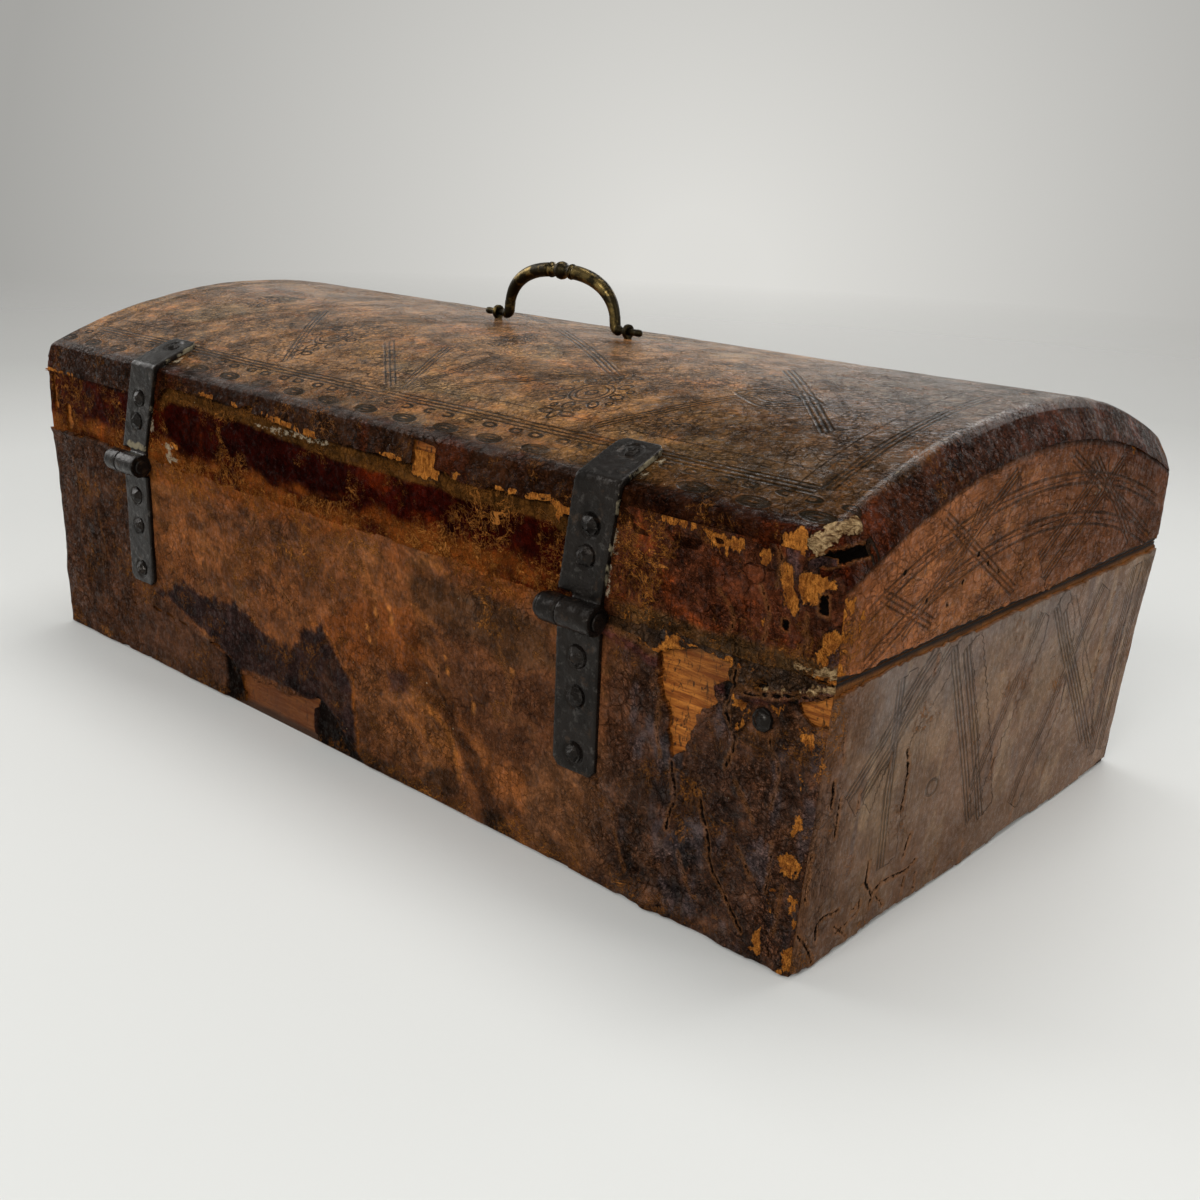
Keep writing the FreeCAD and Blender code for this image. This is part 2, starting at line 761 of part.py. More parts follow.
def build_split_pins():
    middle_stave = "lid_stave_%d" % ((stave_count + 1) // 2)
    for side, sign in (("left", -1), ("right", 1)):
        x = handle_x + sign * split_pin_offset
        pieces["handle_%s_split_pin" % side] = split_pin(x)
        half_x = split_pin_width / 2 + split_pin_hole_gap
        half_y = split_pin_leg_gap / 2 + split_pin_thickness + split_pin_hole_gap
        hole = block(x - half_x, x + half_x, -half_y, half_y, spring_height, crest_height + overrun)
        cut_from(("lid_leather_top", middle_stave, "lid_lining"), hole)


# Lock: an iron plate with a keyhole outside, a case with a sliding bolt inside, and a
# staple under the lid whose eye takes the bolt

plate_top = joint_height - lock_plate_drop
plate_low = plate_top - lock_plate_height
keyhole_z = joint_height - keyhole_drop
case_top = base_rim - lock_case_drop
case_low = case_top - lock_case_height
case_y = -inner_y
case_back = case_y + lock_case_depth
eye_y = case_y + tongue_board_gap + tongue_depth / 2
eye_z = joint_height - tongue_eye_drop
bolt_size = tongue_eye - 2 * bolt_eye_gap
bolt_end_x = -tongue_thickness / 2 - bolt_tongue_gap
bolt_body_x = bolt_end_x - bolt_nose_length


def keyhole(y_low, y_high):
    turn = rod(keyhole_radius, Vector(0, y_low, keyhole_z), Vector(0, y_high, keyhole_z))
    half = keyhole_slot_width / 2
    slot = block(-half, half, y_low, y_high, keyhole_z - keyhole_slot_length, keyhole_z)
    return turn.fuse(slot)


def build_lock_plate():
    front = -half_depth - lock_plate_thickness
    half = lock_plate_width / 2
    plate = block(-half, half, front, -half_depth, plate_low, plate_top)
    for x in (-half, half):
        for z in (plate_low, plate_top):
            start = Vector(x, front - overrun, z)
            end = Vector(x, -half_depth + overrun, z)
            plate = plate.cut(rod(lock_plate_notch_radius, start, end))
    pieces["lock_plate"] = plate
    hole = keyhole(front - overrun, case_y)
    cut_from(("lock_plate", "base_leather_front", "base_front_board"), hole)
    spots = []
    for x in (-half + lock_plate_nail_inset, half - lock_plate_nail_inset):
        for z in (plate_low + lock_plate_nail_inset, plate_top - lock_plate_nail_inset):
            spots.append((Vector(x, front, z), Vector(0, 1, 0)))
    carriers = ("lock_plate", "base_leather_front", "base_front_board")
    pieces["lock_plate_nails"] = drive(spots, carriers, small_nail)


def build_lock_case():
    half = lock_case_width / 2
    wall = lock_case_wall
    case = block(-half, half, case_y, case_back, case_low, case_top)
    inside = block(-half + wall, half - wall, case_y - overrun, case_back - wall,
                   case_low + wall, case_top - wall)
    slot_x = tongue_thickness / 2 + tongue_slot_gap
    slot_y = case_y + tongue_board_gap + tongue_depth + tongue_slot_gap
    slot = block(-slot_x, slot_x, case_y - overrun, slot_y, case_top - wall - overrun,
                 case_top + overrun)
    middle = (case_low + case_top) / 2
    reach = half + lock_ear_width
    ears = block(-reach, reach, case_y, case_y + wall, middle - lock_ear_height / 2,
                 middle + lock_ear_height / 2)
    case = join([case, ears]).cut(inside).cut(slot)
    pieces["lock_case"] = case
    footprint = block(-half, half, case_y, case_back, case_low, joint_height)
    cut_from(("base_lining",), footprint.fuse(ears))
    spots = []
    for x in (-half - lock_ear_width / 2, half + lock_ear_width / 2):
        for z in (middle - lock_ear_height / 3, middle + lock_ear_height / 3):
            spots.append((Vector(x, case_y + wall, z), Vector(0, -1, 0)))
    carriers = ("lock_case", "base_front_board")
    pieces["lock_case_nails"] = drive(spots, carriers, small_nail)

    wall_y = case_back - wall
    post_end = case_y + lock_post_gap
    post = rod(lock_post_radius, Vector(0, post_end, keyhole_z), Vector(0, wall_y, keyhole_z))
    pieces["lock_key_post"] = post


def build_lock_bolt():
    wall_y = case_back - lock_case_wall
    nose_y = (eye_y - bolt_size / 2, eye_y + bolt_size / 2)
    half = bolt_body_height / 2
    nose = block(bolt_body_x, bolt_end_x, nose_y[0], nose_y[1],
                 eye_z - bolt_size / 2, eye_z + bolt_size / 2)
    body_y = (nose_y[0], wall_y - bolt_guide_gap)
    tail_x = bolt_body_x - bolt_body_length
    body = block(tail_x, bolt_body_x, body_y[0], body_y[1], eye_z - half, eye_z + half)
    notch_x = tail_x + bolt_body_length - bolt_notch_width / 2
    notch = block(notch_x - bolt_notch_width, notch_x, body_y[0] - overrun, body_y[1] + overrun,
                  eye_z - half - overrun, eye_z - half + bolt_notch_depth)
    pieces["lock_bolt"] = join([body, nose]).cut(notch)

    keeper_x = tail_x + bolt_body_length / 2
    gap = bolt_guide_gap
    outer = block(keeper_x, keeper_x + keeper_width, body_y[0] - gap - keeper_wall, wall_y,
                  eye_z - half - gap - keeper_wall, eye_z + half + gap + keeper_wall)
    inner = block(keeper_x - overrun, keeper_x + keeper_width + overrun, body_y[0] - gap,
                  wall_y + overrun, eye_z - half - gap, eye_z + half + gap)
    pieces["lock_bolt_keeper"] = outer.cut(inner)


def build_staple():
    half = staple_plate_width / 2
    low = joint_height + staple_plate_lift
    front = case_y
    back = case_y + staple_plate_thickness
    plate = block(-half, half, front, back, low, low + staple_plate_height)
    half_tongue = tongue_thickness / 2
    tongue_y = (front + tongue_board_gap, front + tongue_board_gap + tongue_depth)
    tongue = block(-half_tongue, half_tongue, tongue_y[0], tongue_y[1],
                   joint_height - tongue_length, low + staple_plate_height / 2)
    half_eye = tongue_eye / 2
    hole = block(-overrun, overrun, eye_y - half_eye, eye_y + half_eye,
                 eye_z - half_eye, eye_z + half_eye)
    pieces["lid_lock_staple"] = join([plate, tongue]).cut(hole)
    cut_from(("lid_lining",), block(-half, half, front, back, low, low + staple_plate_height))
    middle = low + staple_plate_height / 2
    spots = [(Vector(x, back, middle), Vector(0, -1, 0))
             for x in (-staple_nail_offset, staple_nail_offset)]
    carriers = ("lid_lock_staple", "lid_front_rail")
    pieces["lid_staple_nails"] = drive(spots, carriers, small_nail)


build_base_boards()
build_lid_boards()
build_leather()
build_lining()
build_brads()
build_hinges()
build_handle()
build_split_pins()
build_lock_plate()
build_lock_case()
build_lock_bolt()
build_staple()

os.makedirs("parts", exist_ok=True)
for name, shape in pieces.items():
    solids = shape.Solids
    result = solids[0] if len(solids) == 1 else Part.makeCompound(solids)
    result.exportStep("parts/" + name + ".step")
    print(name, len(solids), round(result.Volume / 1000, 3), result.isValid())
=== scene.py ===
import json
import math

import bmesh
import bpy
import numpy as np
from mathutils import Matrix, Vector

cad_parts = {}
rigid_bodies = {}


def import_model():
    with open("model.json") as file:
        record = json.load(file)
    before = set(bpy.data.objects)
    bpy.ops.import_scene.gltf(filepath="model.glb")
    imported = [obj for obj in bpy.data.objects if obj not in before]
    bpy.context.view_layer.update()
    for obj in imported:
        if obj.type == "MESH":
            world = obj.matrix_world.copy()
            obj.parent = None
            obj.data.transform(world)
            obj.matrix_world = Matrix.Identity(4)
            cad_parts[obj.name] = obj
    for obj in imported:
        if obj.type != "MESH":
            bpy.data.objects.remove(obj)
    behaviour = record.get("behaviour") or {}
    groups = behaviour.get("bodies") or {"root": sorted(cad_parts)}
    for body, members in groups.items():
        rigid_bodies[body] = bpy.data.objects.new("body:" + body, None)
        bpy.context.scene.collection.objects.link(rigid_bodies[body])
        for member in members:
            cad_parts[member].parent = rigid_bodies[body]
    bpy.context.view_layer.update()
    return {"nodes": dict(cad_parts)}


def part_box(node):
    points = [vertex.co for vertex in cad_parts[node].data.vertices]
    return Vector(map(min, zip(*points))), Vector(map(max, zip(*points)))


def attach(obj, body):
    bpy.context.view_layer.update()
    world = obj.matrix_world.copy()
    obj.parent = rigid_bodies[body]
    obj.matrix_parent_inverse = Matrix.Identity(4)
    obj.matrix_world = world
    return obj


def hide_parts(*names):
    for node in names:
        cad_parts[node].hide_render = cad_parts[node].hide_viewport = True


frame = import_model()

nodes = frame["nodes"]

# Camera: it stands behind the box's left corner, a little above the lid, as the photograph was
# taken, and looks down at the hinge side and the left end.
camera_place = Vector((-0.38349, 0.39351, 0.22066))
camera_forward = Vector((0.63344, -0.70716, -0.31414))
camera_right = Vector((-0.73565, -0.67624, 0.03889))
camera_lens = 41.19


def put(name, data):
    # Hangs a mesh, a lamp or a camera in the scene
    piece = bpy.data.objects.new(name, data)
    bpy.context.scene.collection.objects.link(piece)
    return piece


camera = put("camera", bpy.data.cameras.new("camera"))
camera.data.sensor_width = 36.0
camera.data.lens = camera_lens
camera.data.clip_start = 0.01
camera_up = camera_right.cross(camera_forward)
turn = camera.matrix_world.to_3x3()
turn.col[0] = camera_right.normalized()
turn.col[1] = camera_up.normalized()
turn.col[2] = -camera_forward.normalized()
camera.matrix_world = turn.to_4x4()
camera.location = camera_place
bpy.context.scene.camera = camera


# Boards: thin softwood, sawn and planed by hand and nailed together. They show where the leather
# has torn away, along the joint between base and lid, and inside where the lining ends.
wood_pale = (0.6, 0.215, 0.036)
wood_deep = (0.22, 0.056, 0.009)
wood_dirt = (0.03, 0.014, 0.007)
wood_strand = (0.16, 0.042, 0.008)
wood_handled = (0.1, 0.05, 0.018)
wood_damp = (0.085, 0.022, 0.004)
wood_gap_shade = (0.006, 0.004, 0.003)
joint_height = 0.0907


def material(name, base, roughness, metallic=0.0, specular=0.5):
    made = bpy.data.materials.new(name)
    made.use_nodes = True
    shader = made.node_tree.nodes["Principled BSDF"]
    shader.inputs["Base Color"].default_value = (*base, 1.0)
    shader.inputs["Roughness"].default_value = roughness
    shader.inputs["Metallic"].default_value = metallic
    shader.inputs["Specular IOR Level"].default_value = specular
    return made, shader


class Graph:
    """Short words for the nodes of one material or one geometry tree."""

    def __init__(self, made):
        self.tree = getattr(made, "node_tree", made)

    def node(self, kind, inputs=(), **settings):
        whole = kind.startswith(("Geometry", "Function", "NodeGroup"))
        made = self.tree.nodes.new(kind if whole else "ShaderNode" + kind)
        for key, value in settings.items():
            setattr(made, key, value)
        for key, value in dict(inputs).items():
            self.feed(made.inputs[key], value)
        return made

    def feed(self, socket, value):
        if isinstance(value, bpy.types.NodeSocket):
            self.tree.links.new(value, socket)
        else:
            socket.default_value = value

    def place(self, scale=(1, 1, 1), turned=(0, 0, 0)):
        # Object coordinates, stretched and turned
        where = self.node("TexCoord").outputs["Object"]
        fit = {"Vector": where, "Scale": scale, "Rotation": turned}
        return self.node("Mapping", fit).outputs["Vector"]

    def noise(self, scale, detail=4.0, rough=0.55, where=None, warp=0.0):
        sizes = {"Scale": scale, "Detail": detail, "Roughness": rough, "Distortion": warp}
        if where is not None:
            sizes["Vector"] = where
        return self.node("TexNoise", sizes).outputs["Fac"]

    def cells(self, scale, where, feature="F1", output="Distance"):
        return self.node("TexVoronoi", {"Scale": scale, "Vector": where}, feature=feature).outputs[output]

    def ramp(self, value, low, high, start=0.0, end=1.0):
        steps = {"Value": value, "From Min": low, "From Max": high, "To Min": start, "To Max": end}
        return self.node("MapRange", steps, clamp=True).outputs["Result"]

    def sum(self, first, second, operation="ADD"):
        made = self.node("Math", operation=operation)
        self.feed(made.inputs[0], first)
        self.feed(made.inputs[1], second)
        return made.outputs[0]

    def times(self, first, second):
        return self.sum(first, second, "MULTIPLY")

    def less(self, first, second):
        return self.sum(first, second, "SUBTRACT")

    def most(self, first, second):
        return self.sum(first, second, "MAXIMUM")

    def least(self, first, second):
        return self.sum(first, second, "MINIMUM")

    def size(self, value):
        # A value without its sign
        return self.sum(value, 0.0, "ABSOLUTE")

    def apart(self, first, second):
        # How far two values lie apart
        return self.size(self.less(first, second))

    def vector(self, first, second, operation):
        return self.node("VectorMath", {0: first, 1: second}, operation=operation).outputs[0]

    def far(self, place):
        return self.node("VectorMath", {0: place}, operation="LENGTH").outputs["Value"]

    def split(self, place):
        return self.node("SeparateXYZ", {"Vector": place}).outputs

    def mix(self, share, first, second, blend="MIX"):
        made = self.node("Mix", data_type="RGBA", blend_type=blend)
        self.feed(made.inputs[0], share)
        for socket, value in ((made.inputs[6], first), (made.inputs[7], second)):
            self.feed(socket, (*value, 1.0) if isinstance(value, tuple) else value)
        return made.outputs[2]

    def outline(self, x, y, centre, size):
        # How far each place is from an oval line
        offset = self.node("CombineXYZ", {"X": self.less(x, centre[0]), "Y": self.less(y, centre[1])})
        fit = self.vector(offset.outputs[0], (1 / size[0], 1 / size[1], 1), "MULTIPLY")
        return self.size(self.times(self.less(self.far(fit), 1.0), min(size)))

    def read(self, name, output="Fac"):
        return self.node("Attribute", attribute_name=name).outputs[output]

    def bump(self, height, depth, strength=1.0, under=None):
        made = self.node("Bump", {"Height": height, "Distance": depth, "Strength": strength})
        if under is not None:
            self.feed(made.inputs["Normal"], under)
        return made.outputs["Normal"]


def wood(name, along):
    # Grain runs along the stated stretch: a small scale is the way that the grain runs
    made, shader = material(name, wood_pale, 0.62, specular=0.12)
    g = Graph(made)
    grain = g.noise(1.0, 6.0, 0.6, g.place(along), 0.4)
    broad = g.noise(38.0, 3.0, 0.5, g.place())
    colour = g.mix(g.ramp(grain, 0.36, 0.66), wood_deep, wood_pale)
    colour = g.mix(g.ramp(broad, 0.46, 0.7, 0.0, 0.7), colour, wood_dirt)
    strands = g.noise(1.0, 6.0, 0.75, g.place(tuple(part * 2.2 for part in along), (0.0, 0.25, 0.1)), 1.2)
    colour = g.mix(g.ramp(strands, 0.5, 0.42, 0.0, 0.75), colour, wood_strand)
    pits = g.noise(1.0, 6.0, 0.75, g.place((520, 520, 190), (0.0, 0.35, 0.0)), 1.4)
    colour = g.mix(g.ramp(pits, 0.55, 0.6, 0.0, 0.92), colour, wood_dirt)
    height = g.split(g.place())["Z"]
    from_joint = g.apart(height, joint_height)
    ragged = g.times(g.less(g.noise(300.0, 4.0, 0.65, g.place()), 0.5), 0.008)
    handled = g.ramp(g.sum(from_joint, ragged), 0.0052, 0.0026, 0.0, 0.6)
    colour = g.mix(handled, colour, wood_handled)
    colour = g.mix(g.ramp(g.sum(height, ragged), 0.03, 0.02, 0.0, 0.8), colour, wood_damp)
    colour = g.mix(g.ramp(height, 0.0042, 0.0022, 0.0, 0.85), colour, wood_dirt)
    # Painted shade: upright faces are painted nearly black in a thin line along the joint, where the gap
    # between base and lid lies in shadow
    level = g.split(g.node("TexCoord").outputs["Normal"])["Z"]
    upright = g.ramp(g.size(level), 0.6, 0.4)
    joint_gap_shade = g.times(g.ramp(from_joint, 0.0021, 0.0009), upright)
    colour = g.mix(g.times(joint_gap_shade, 0.97), colour, wood_gap_shade)
    g.feed(shader.inputs["Base Color"], colour)
    g.feed(shader.inputs["Roughness"], g.ramp(grain, 0.3, 0.7, 0.72, 0.5))
    g.feed(shader.inputs["Normal"], g.bump(g.sum(grain, strands), 0.0009, 0.9))
    return made


def dress(names, made):
    for name in names:
        slots = nodes[name].data.materials
        slots.clear()
        slots.append(made)


wood_along = wood("bare_wood_lengthwise", (60, 900, 620))
wood_across = wood("bare_wood_crosswise", (900, 60, 620))
dress(["bottom_board", "base_front_board", "base_back_board"], wood_along)
dress(["lid_front_rail", "lid_back_rail"], wood_along)
dress(["lid_stave_%d" % count for count in (1, 2, 3, 4, 5)], wood_along)
dress(["base_left_end_board", "base_right_end_board"], wood_across)
dress(["lid_left_end_board", "lid_right_end_board"], wood_across)


# Brads: small square nails of iron wire, driven flush into the boards under the leather. Time
# has turned them dull and rusty.
brad_steel = (0.03, 0.025, 0.022)
brad_rust = (0.12, 0.045, 0.02)

brad_iron, shader = material("rusty_brad", (0.05, 0.03, 0.02), 0.75, metallic=0.6)
g = Graph(brad_iron)
rusted = g.ramp(g.noise(600.0, 4.0, 0.55, g.place()), 0.4, 0.65)
g.feed(shader.inputs["Base Color"], g.mix(rusted, brad_steel, brad_rust))
dress(["base_wall_brads", "bottom_brads", "lid_wall_brads", "lid_stave_brads"], brad_iron)


# Lining: plain laid paper pasted over the boards inside, yellowed and stained by use. Damp has
# left tide lines, and small brown spots have come with age.
paper_pale = (0.43, 0.335, 0.2)
paper_brown = (0.23, 0.145, 0.07)
paper_tide = (0.15, 0.085, 0.035)
paper_spot = (0.13, 0.06, 0.025)

paper, shader = material("old_paper", (0.5, 0.4, 0.26), 0.85, specular=0.25)
g = Graph(paper)
blotch = g.noise(11.0, 6.0, 0.62, g.place(), 0.6)
speck = g.noise(260.0, 4.0, 0.6, g.place())
laid = g.noise(1.0, 2.0, 0.5, g.place((30, 1400, 1400)))
colour = g.mix(g.ramp(blotch, 0.4, 0.68, 0.0, 0.75), paper_pale, paper_brown)
colour = g.mix(g.ramp(g.apart(blotch, 0.56), 0.012, 0.003, 0.0, 0.5), colour, paper_tide)
colour = g.mix(g.ramp(speck, 0.64, 0.7, 0.0, 0.7), colour, paper_spot)
g.feed(shader.inputs["Base Color"], colour)
g.feed(shader.inputs["Normal"], g.bump(laid, 0.0003, 0.5))
dress(["base_lining", "lid_lining"], paper)


# Leather: calf, glued wet over the boards and waxed. One sheet covers each side of the base and
# of the lid, and one covers the dome and is turned down over the others on all four sides.
# Age has cracked it, and at the hinge side's left corner it flakes off in scales.
leather_thickness = 1.3
arch_rise = 23.0
shoulder_inset = 7.0
shoulder_drop = 11.0
base_end_lean = 6.0
corner_round = 3.4
lip_round = 1.3
hinges = (("left", -120.0, -5.4), ("right", 134.0, -11.0))
strap_foot = 93.7
strap_rise = 35.3
corner_nail_x, corner_nail_z = -187.6, 74.4
dome_side_foot = 117.4

core_pale = (0.58, 0.215, 0.038)
core_deep = (0.19, 0.055, 0.01)
core_brown = (0.17, 0.05, 0.012)
core_vein = (0.46, 0.17, 0.036)
core_lip = (0.3, 0.12, 0.04)
flesh_pale = (0.5, 0.34, 0.17)
flesh_deep = (0.09, 0.04, 0.014)
scale_shadow = (0.01, 0.006, 0.005)
gap_shadow_black = (0.003, 0.002, 0.0015)
tool_black = (0.014, 0.012, 0.008)
old_dust = (0.46, 0.38, 0.26)

mm = 0.001
half_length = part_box("lid_leather_top")[1].x / mm
half_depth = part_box("base_leather_back")[1].y / mm
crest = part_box("lid_leather_top")[1].z / mm
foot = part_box("base_leather_back")[0].z / mm
base_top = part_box("base_leather_back")[1].z / mm
lid_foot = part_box("lid_leather_back")[0].z / mm
joint = (base_top + lid_foot) / 2
arch_radius = (half_depth ** 2 + arch_rise ** 2) / (2 * arch_rise)
arch_centre = crest - arch_radius
turned_edge = arch_centre + math.sqrt((arch_radius - shoulder_drop) ** 2 - half_depth ** 2)
arch_half = arch_radius * math.asin(half_depth / arch_radius)
arch_edge = arch_centre + math.sqrt(arch_radius ** 2 - half_depth ** 2)
band = arch_edge - turned_edge
chance = np.random.RandomState(1760).rand(65536)


def dye(code):
    # A colour as the eye sees it, such as 8a5f37, as the amount of light that it returns
    parts = np.array([int(code[at:at + 2], 16) / 255 for at in (0, 2, 4)])
    return np.where(parts <= 0.04045, parts / 12.92, ((parts + 0.055) / 1.055) ** 2.4)


def clouds(u, v, wide, high, seed, layers=4):
    # Soft random blotches from -1 to 1, about wide by high millimetres in size
    total = np.zeros(np.shape(u))
    reach = 0.0
    for layer in range(layers):
        a = u / wide * 2 ** layer + 31.7 * seed + 7.3 * layer
        b = v / high * 2 ** layer - 11.9 * seed + 3.1 * layer
        i = np.floor(a).astype(np.int64)
        j = np.floor(b).astype(np.int64)
        fa = (a - i) ** 2 * (3 - 2 * (a - i))
        fb = (b - j) ** 2 * (3 - 2 * (b - j))
        corners = []
        for di, dj in ((0, 0), (1, 0), (0, 1), (1, 1)):
            key = (i + di) * 374761393 + (j + dj) * 668265263 + seed * 144665
            key = (key ^ (key >> 13)) * 1274126177
            corners.append(chance[(key ^ (key >> 16)) & 65535])
        low = corners[0] + (corners[1] - corners[0]) * fa
        high_side = corners[2] + (corners[3] - corners[2]) * fa
        total += (low + (high_side - low) * fb - 0.5) * 2 * 0.55 ** layer
        reach += 0.55 ** layer
    return total / reach * 1.5


def rise(value, low, high):
    # 0 below low, 1 above high and smooth between
    share = np.clip((value - low) / (high - low), 0, 1)
    return share * share * (3 - 2 * share)


def patchy(u, v, wide, high, seed, low, full):
    # Blotches from 0 to 1
    return rise(clouds(u, v, wide, high, seed), low, full)


def line_gap(u, v, points):
    # How far each place is from a drawn line
    gap = np.full(np.shape(u), 1e9)
    for (ua, va), (ub, vb) in zip(points, points[1:]):
        du, dv = ub - ua, vb - va
        share = np.clip(((u - ua) * du + (v - va) * dv) / (du * du + dv * dv), 0, 1)
        gap = np.minimum(gap, np.hypot(u - ua - share * du, v - va - share * dv))
    return gap


def patch(u, v, points):
    # How deep each place lies inside a drawn outline, less than zero outside
    inside = np.zeros(np.shape(u), bool)
    loop = list(points) + [points[0]]
    for (ua, va), (ub, vb) in zip(loop, loop[1:]):
        crosses = (va > v) != (vb > v)
        step = vb - va if vb != va else 1e-9
        inside ^= crosses & (u < (ub - ua) * (v - va) / step + ua)
    gap = line_gap(u, v, loop)
    return np.where(inside, gap, -gap)


def blot(u, v, centre, size, ragged, seed, soft=0.6):
    # A round stain whose rim wanders
    far = np.hypot((u - centre[0]) / size[0], (v - centre[1]) / size[1])
    return rise(1.25 - far + ragged * clouds(u, v, size[0] * 0.6, size[1] * 0.6, seed), 0.3 - soft / 2,
                0.3 + soft / 2)


class Finish:
    """What the leather looks like at each place of one sheet."""

    def __init__(self, u, v, ground, crease=(3.0, 3.0)):
        # crease is how long and how high the fine creases are. The leather is gone where torn
        # is above zero, and slit, bare and cream say how far a drawn gap or patch is, in
        # millimetres. The others are shares of a look, or heights in millimetres.
        self.u = u
        self.v = v
        self.crease = crease
        self.colour = np.zeros(u.shape + (3,)) + dye(ground)
        for field, start in (("relief", 0.0), ("crackle", 0.0), ("flake", 0.0), ("gloss", 0.0),
                             ("dust", 0.0), ("drop", 0.0), ("shine", 0.2), ("creased", 0.5),
                             ("mottled", 0.4), ("cut", 1.0), ("torn", -9.0), ("slit", 9.0),
                             ("bare", -9.0), ("cream", -9.0)):
            setattr(self, field, np.full(u.shape, start))
        self.slant = 0.0
        self.lines = np.full(u.shape + (3,), 9.0)
        self.stamped = np.zeros(u.shape + (3,))

    def stain(self, mask, code):
        share = np.clip(mask, 0, 1)[..., None]
        self.colour = self.colour * (1 - share) + dye(code) * share

    def grain(self):
        flow = 1.5 * clouds(self.u, self.v, 60, 60, 97, 2)
        along = self.u * math.cos(self.slant) + self.v * math.sin(self.slant)
        aside = self.v * math.cos(self.slant) - self.u * math.sin(self.slant)
        drop = self.drop / self.crease[1]
        return np.stack((along / self.crease[0], aside / self.crease[1] + flow, drop), -1)

    def weather(self, rows, where=1.0):
        # Blotches of other colours: share, width, height, seed, where they start and are full
        for share, wide, high, seed, start, full, code in rows:
            middle = (start + full) / 2
            shape = clouds(self.u, self.v, wide, high, seed)
            self.stain(share * where * rise(shape, middle - 0.17, middle + 0.17), code)

    def flakes(self, spots, amount, seed):
        # Places where the hide has scaled off: middle and half sizes of each
        for at_u, at_v, half_u, half_v in spots:
            self.flake += amount * blot(self.u, self.v, (at_u, at_v), (half_u, half_v), 0.5, seed, 0.5)

    def rip(self, depth):
        self.torn = np.maximum(self.torn, depth)

    def cracks(self, lines, wide=0.3, depth=0.45):
        # Splits along drawn lines, painted black as shade, with lips that stand up a little beside them
        for points in lines:
            gap = line_gap(self.u + 0.9 * clouds(self.u, self.v, 8, 8, 301), self.v, points)
            self.slit = np.minimum(self.slit, gap - wide)
            self.relief += 0.3 * rise(4 - gap, 0, 3) - depth * rise(wide + 1 - gap, 0, 1)

    def hollow(self, points, depth=0.8):
        # A hole with a drawn outline, painted black as shade
        inside = patch(self.u, self.v, points)
        self.slit = np.minimum(self.slit, -inside)
        self.relief -= depth * rise(inside, -0.4, 0.8)

    def scuff(self, outlines):
        # Drawn places where the tan core of the hide lies bare
        for points in outlines:
            inside = patch(self.u, self.v, points)
            self.bare = np.maximum(self.bare, inside)
            self.relief += 0.35 * rise(2.5 - np.abs(inside + 1), 0, 2)


def eased(place, half_x, radius):
    # Rounds the upright corners of the box, whose walls stand at half_x and at half_depth
    centre_x = half_x - radius
    centre_y = half_depth - radius
    over_x = np.maximum(np.abs(place[..., 0]) - centre_x, 0)
    over_y = np.maximum(np.abs(place[..., 1]) - centre_y, 0)
    reach = np.maximum(over_x, over_y)
    shrink = np.where((over_x > 0) & (over_y > 0), reach / np.maximum(np.hypot(over_x, over_y), 1e-9), 1)
    done = place.copy()
    x = np.sign(place[..., 0]) * (np.minimum(np.abs(place[..., 0]), centre_x) + over_x * shrink)
    y = np.sign(place[..., 1]) * (np.minimum(np.abs(place[..., 1]), centre_y) + over_y * shrink)
    done[..., 0] = x
    done[..., 1] = y
    return done


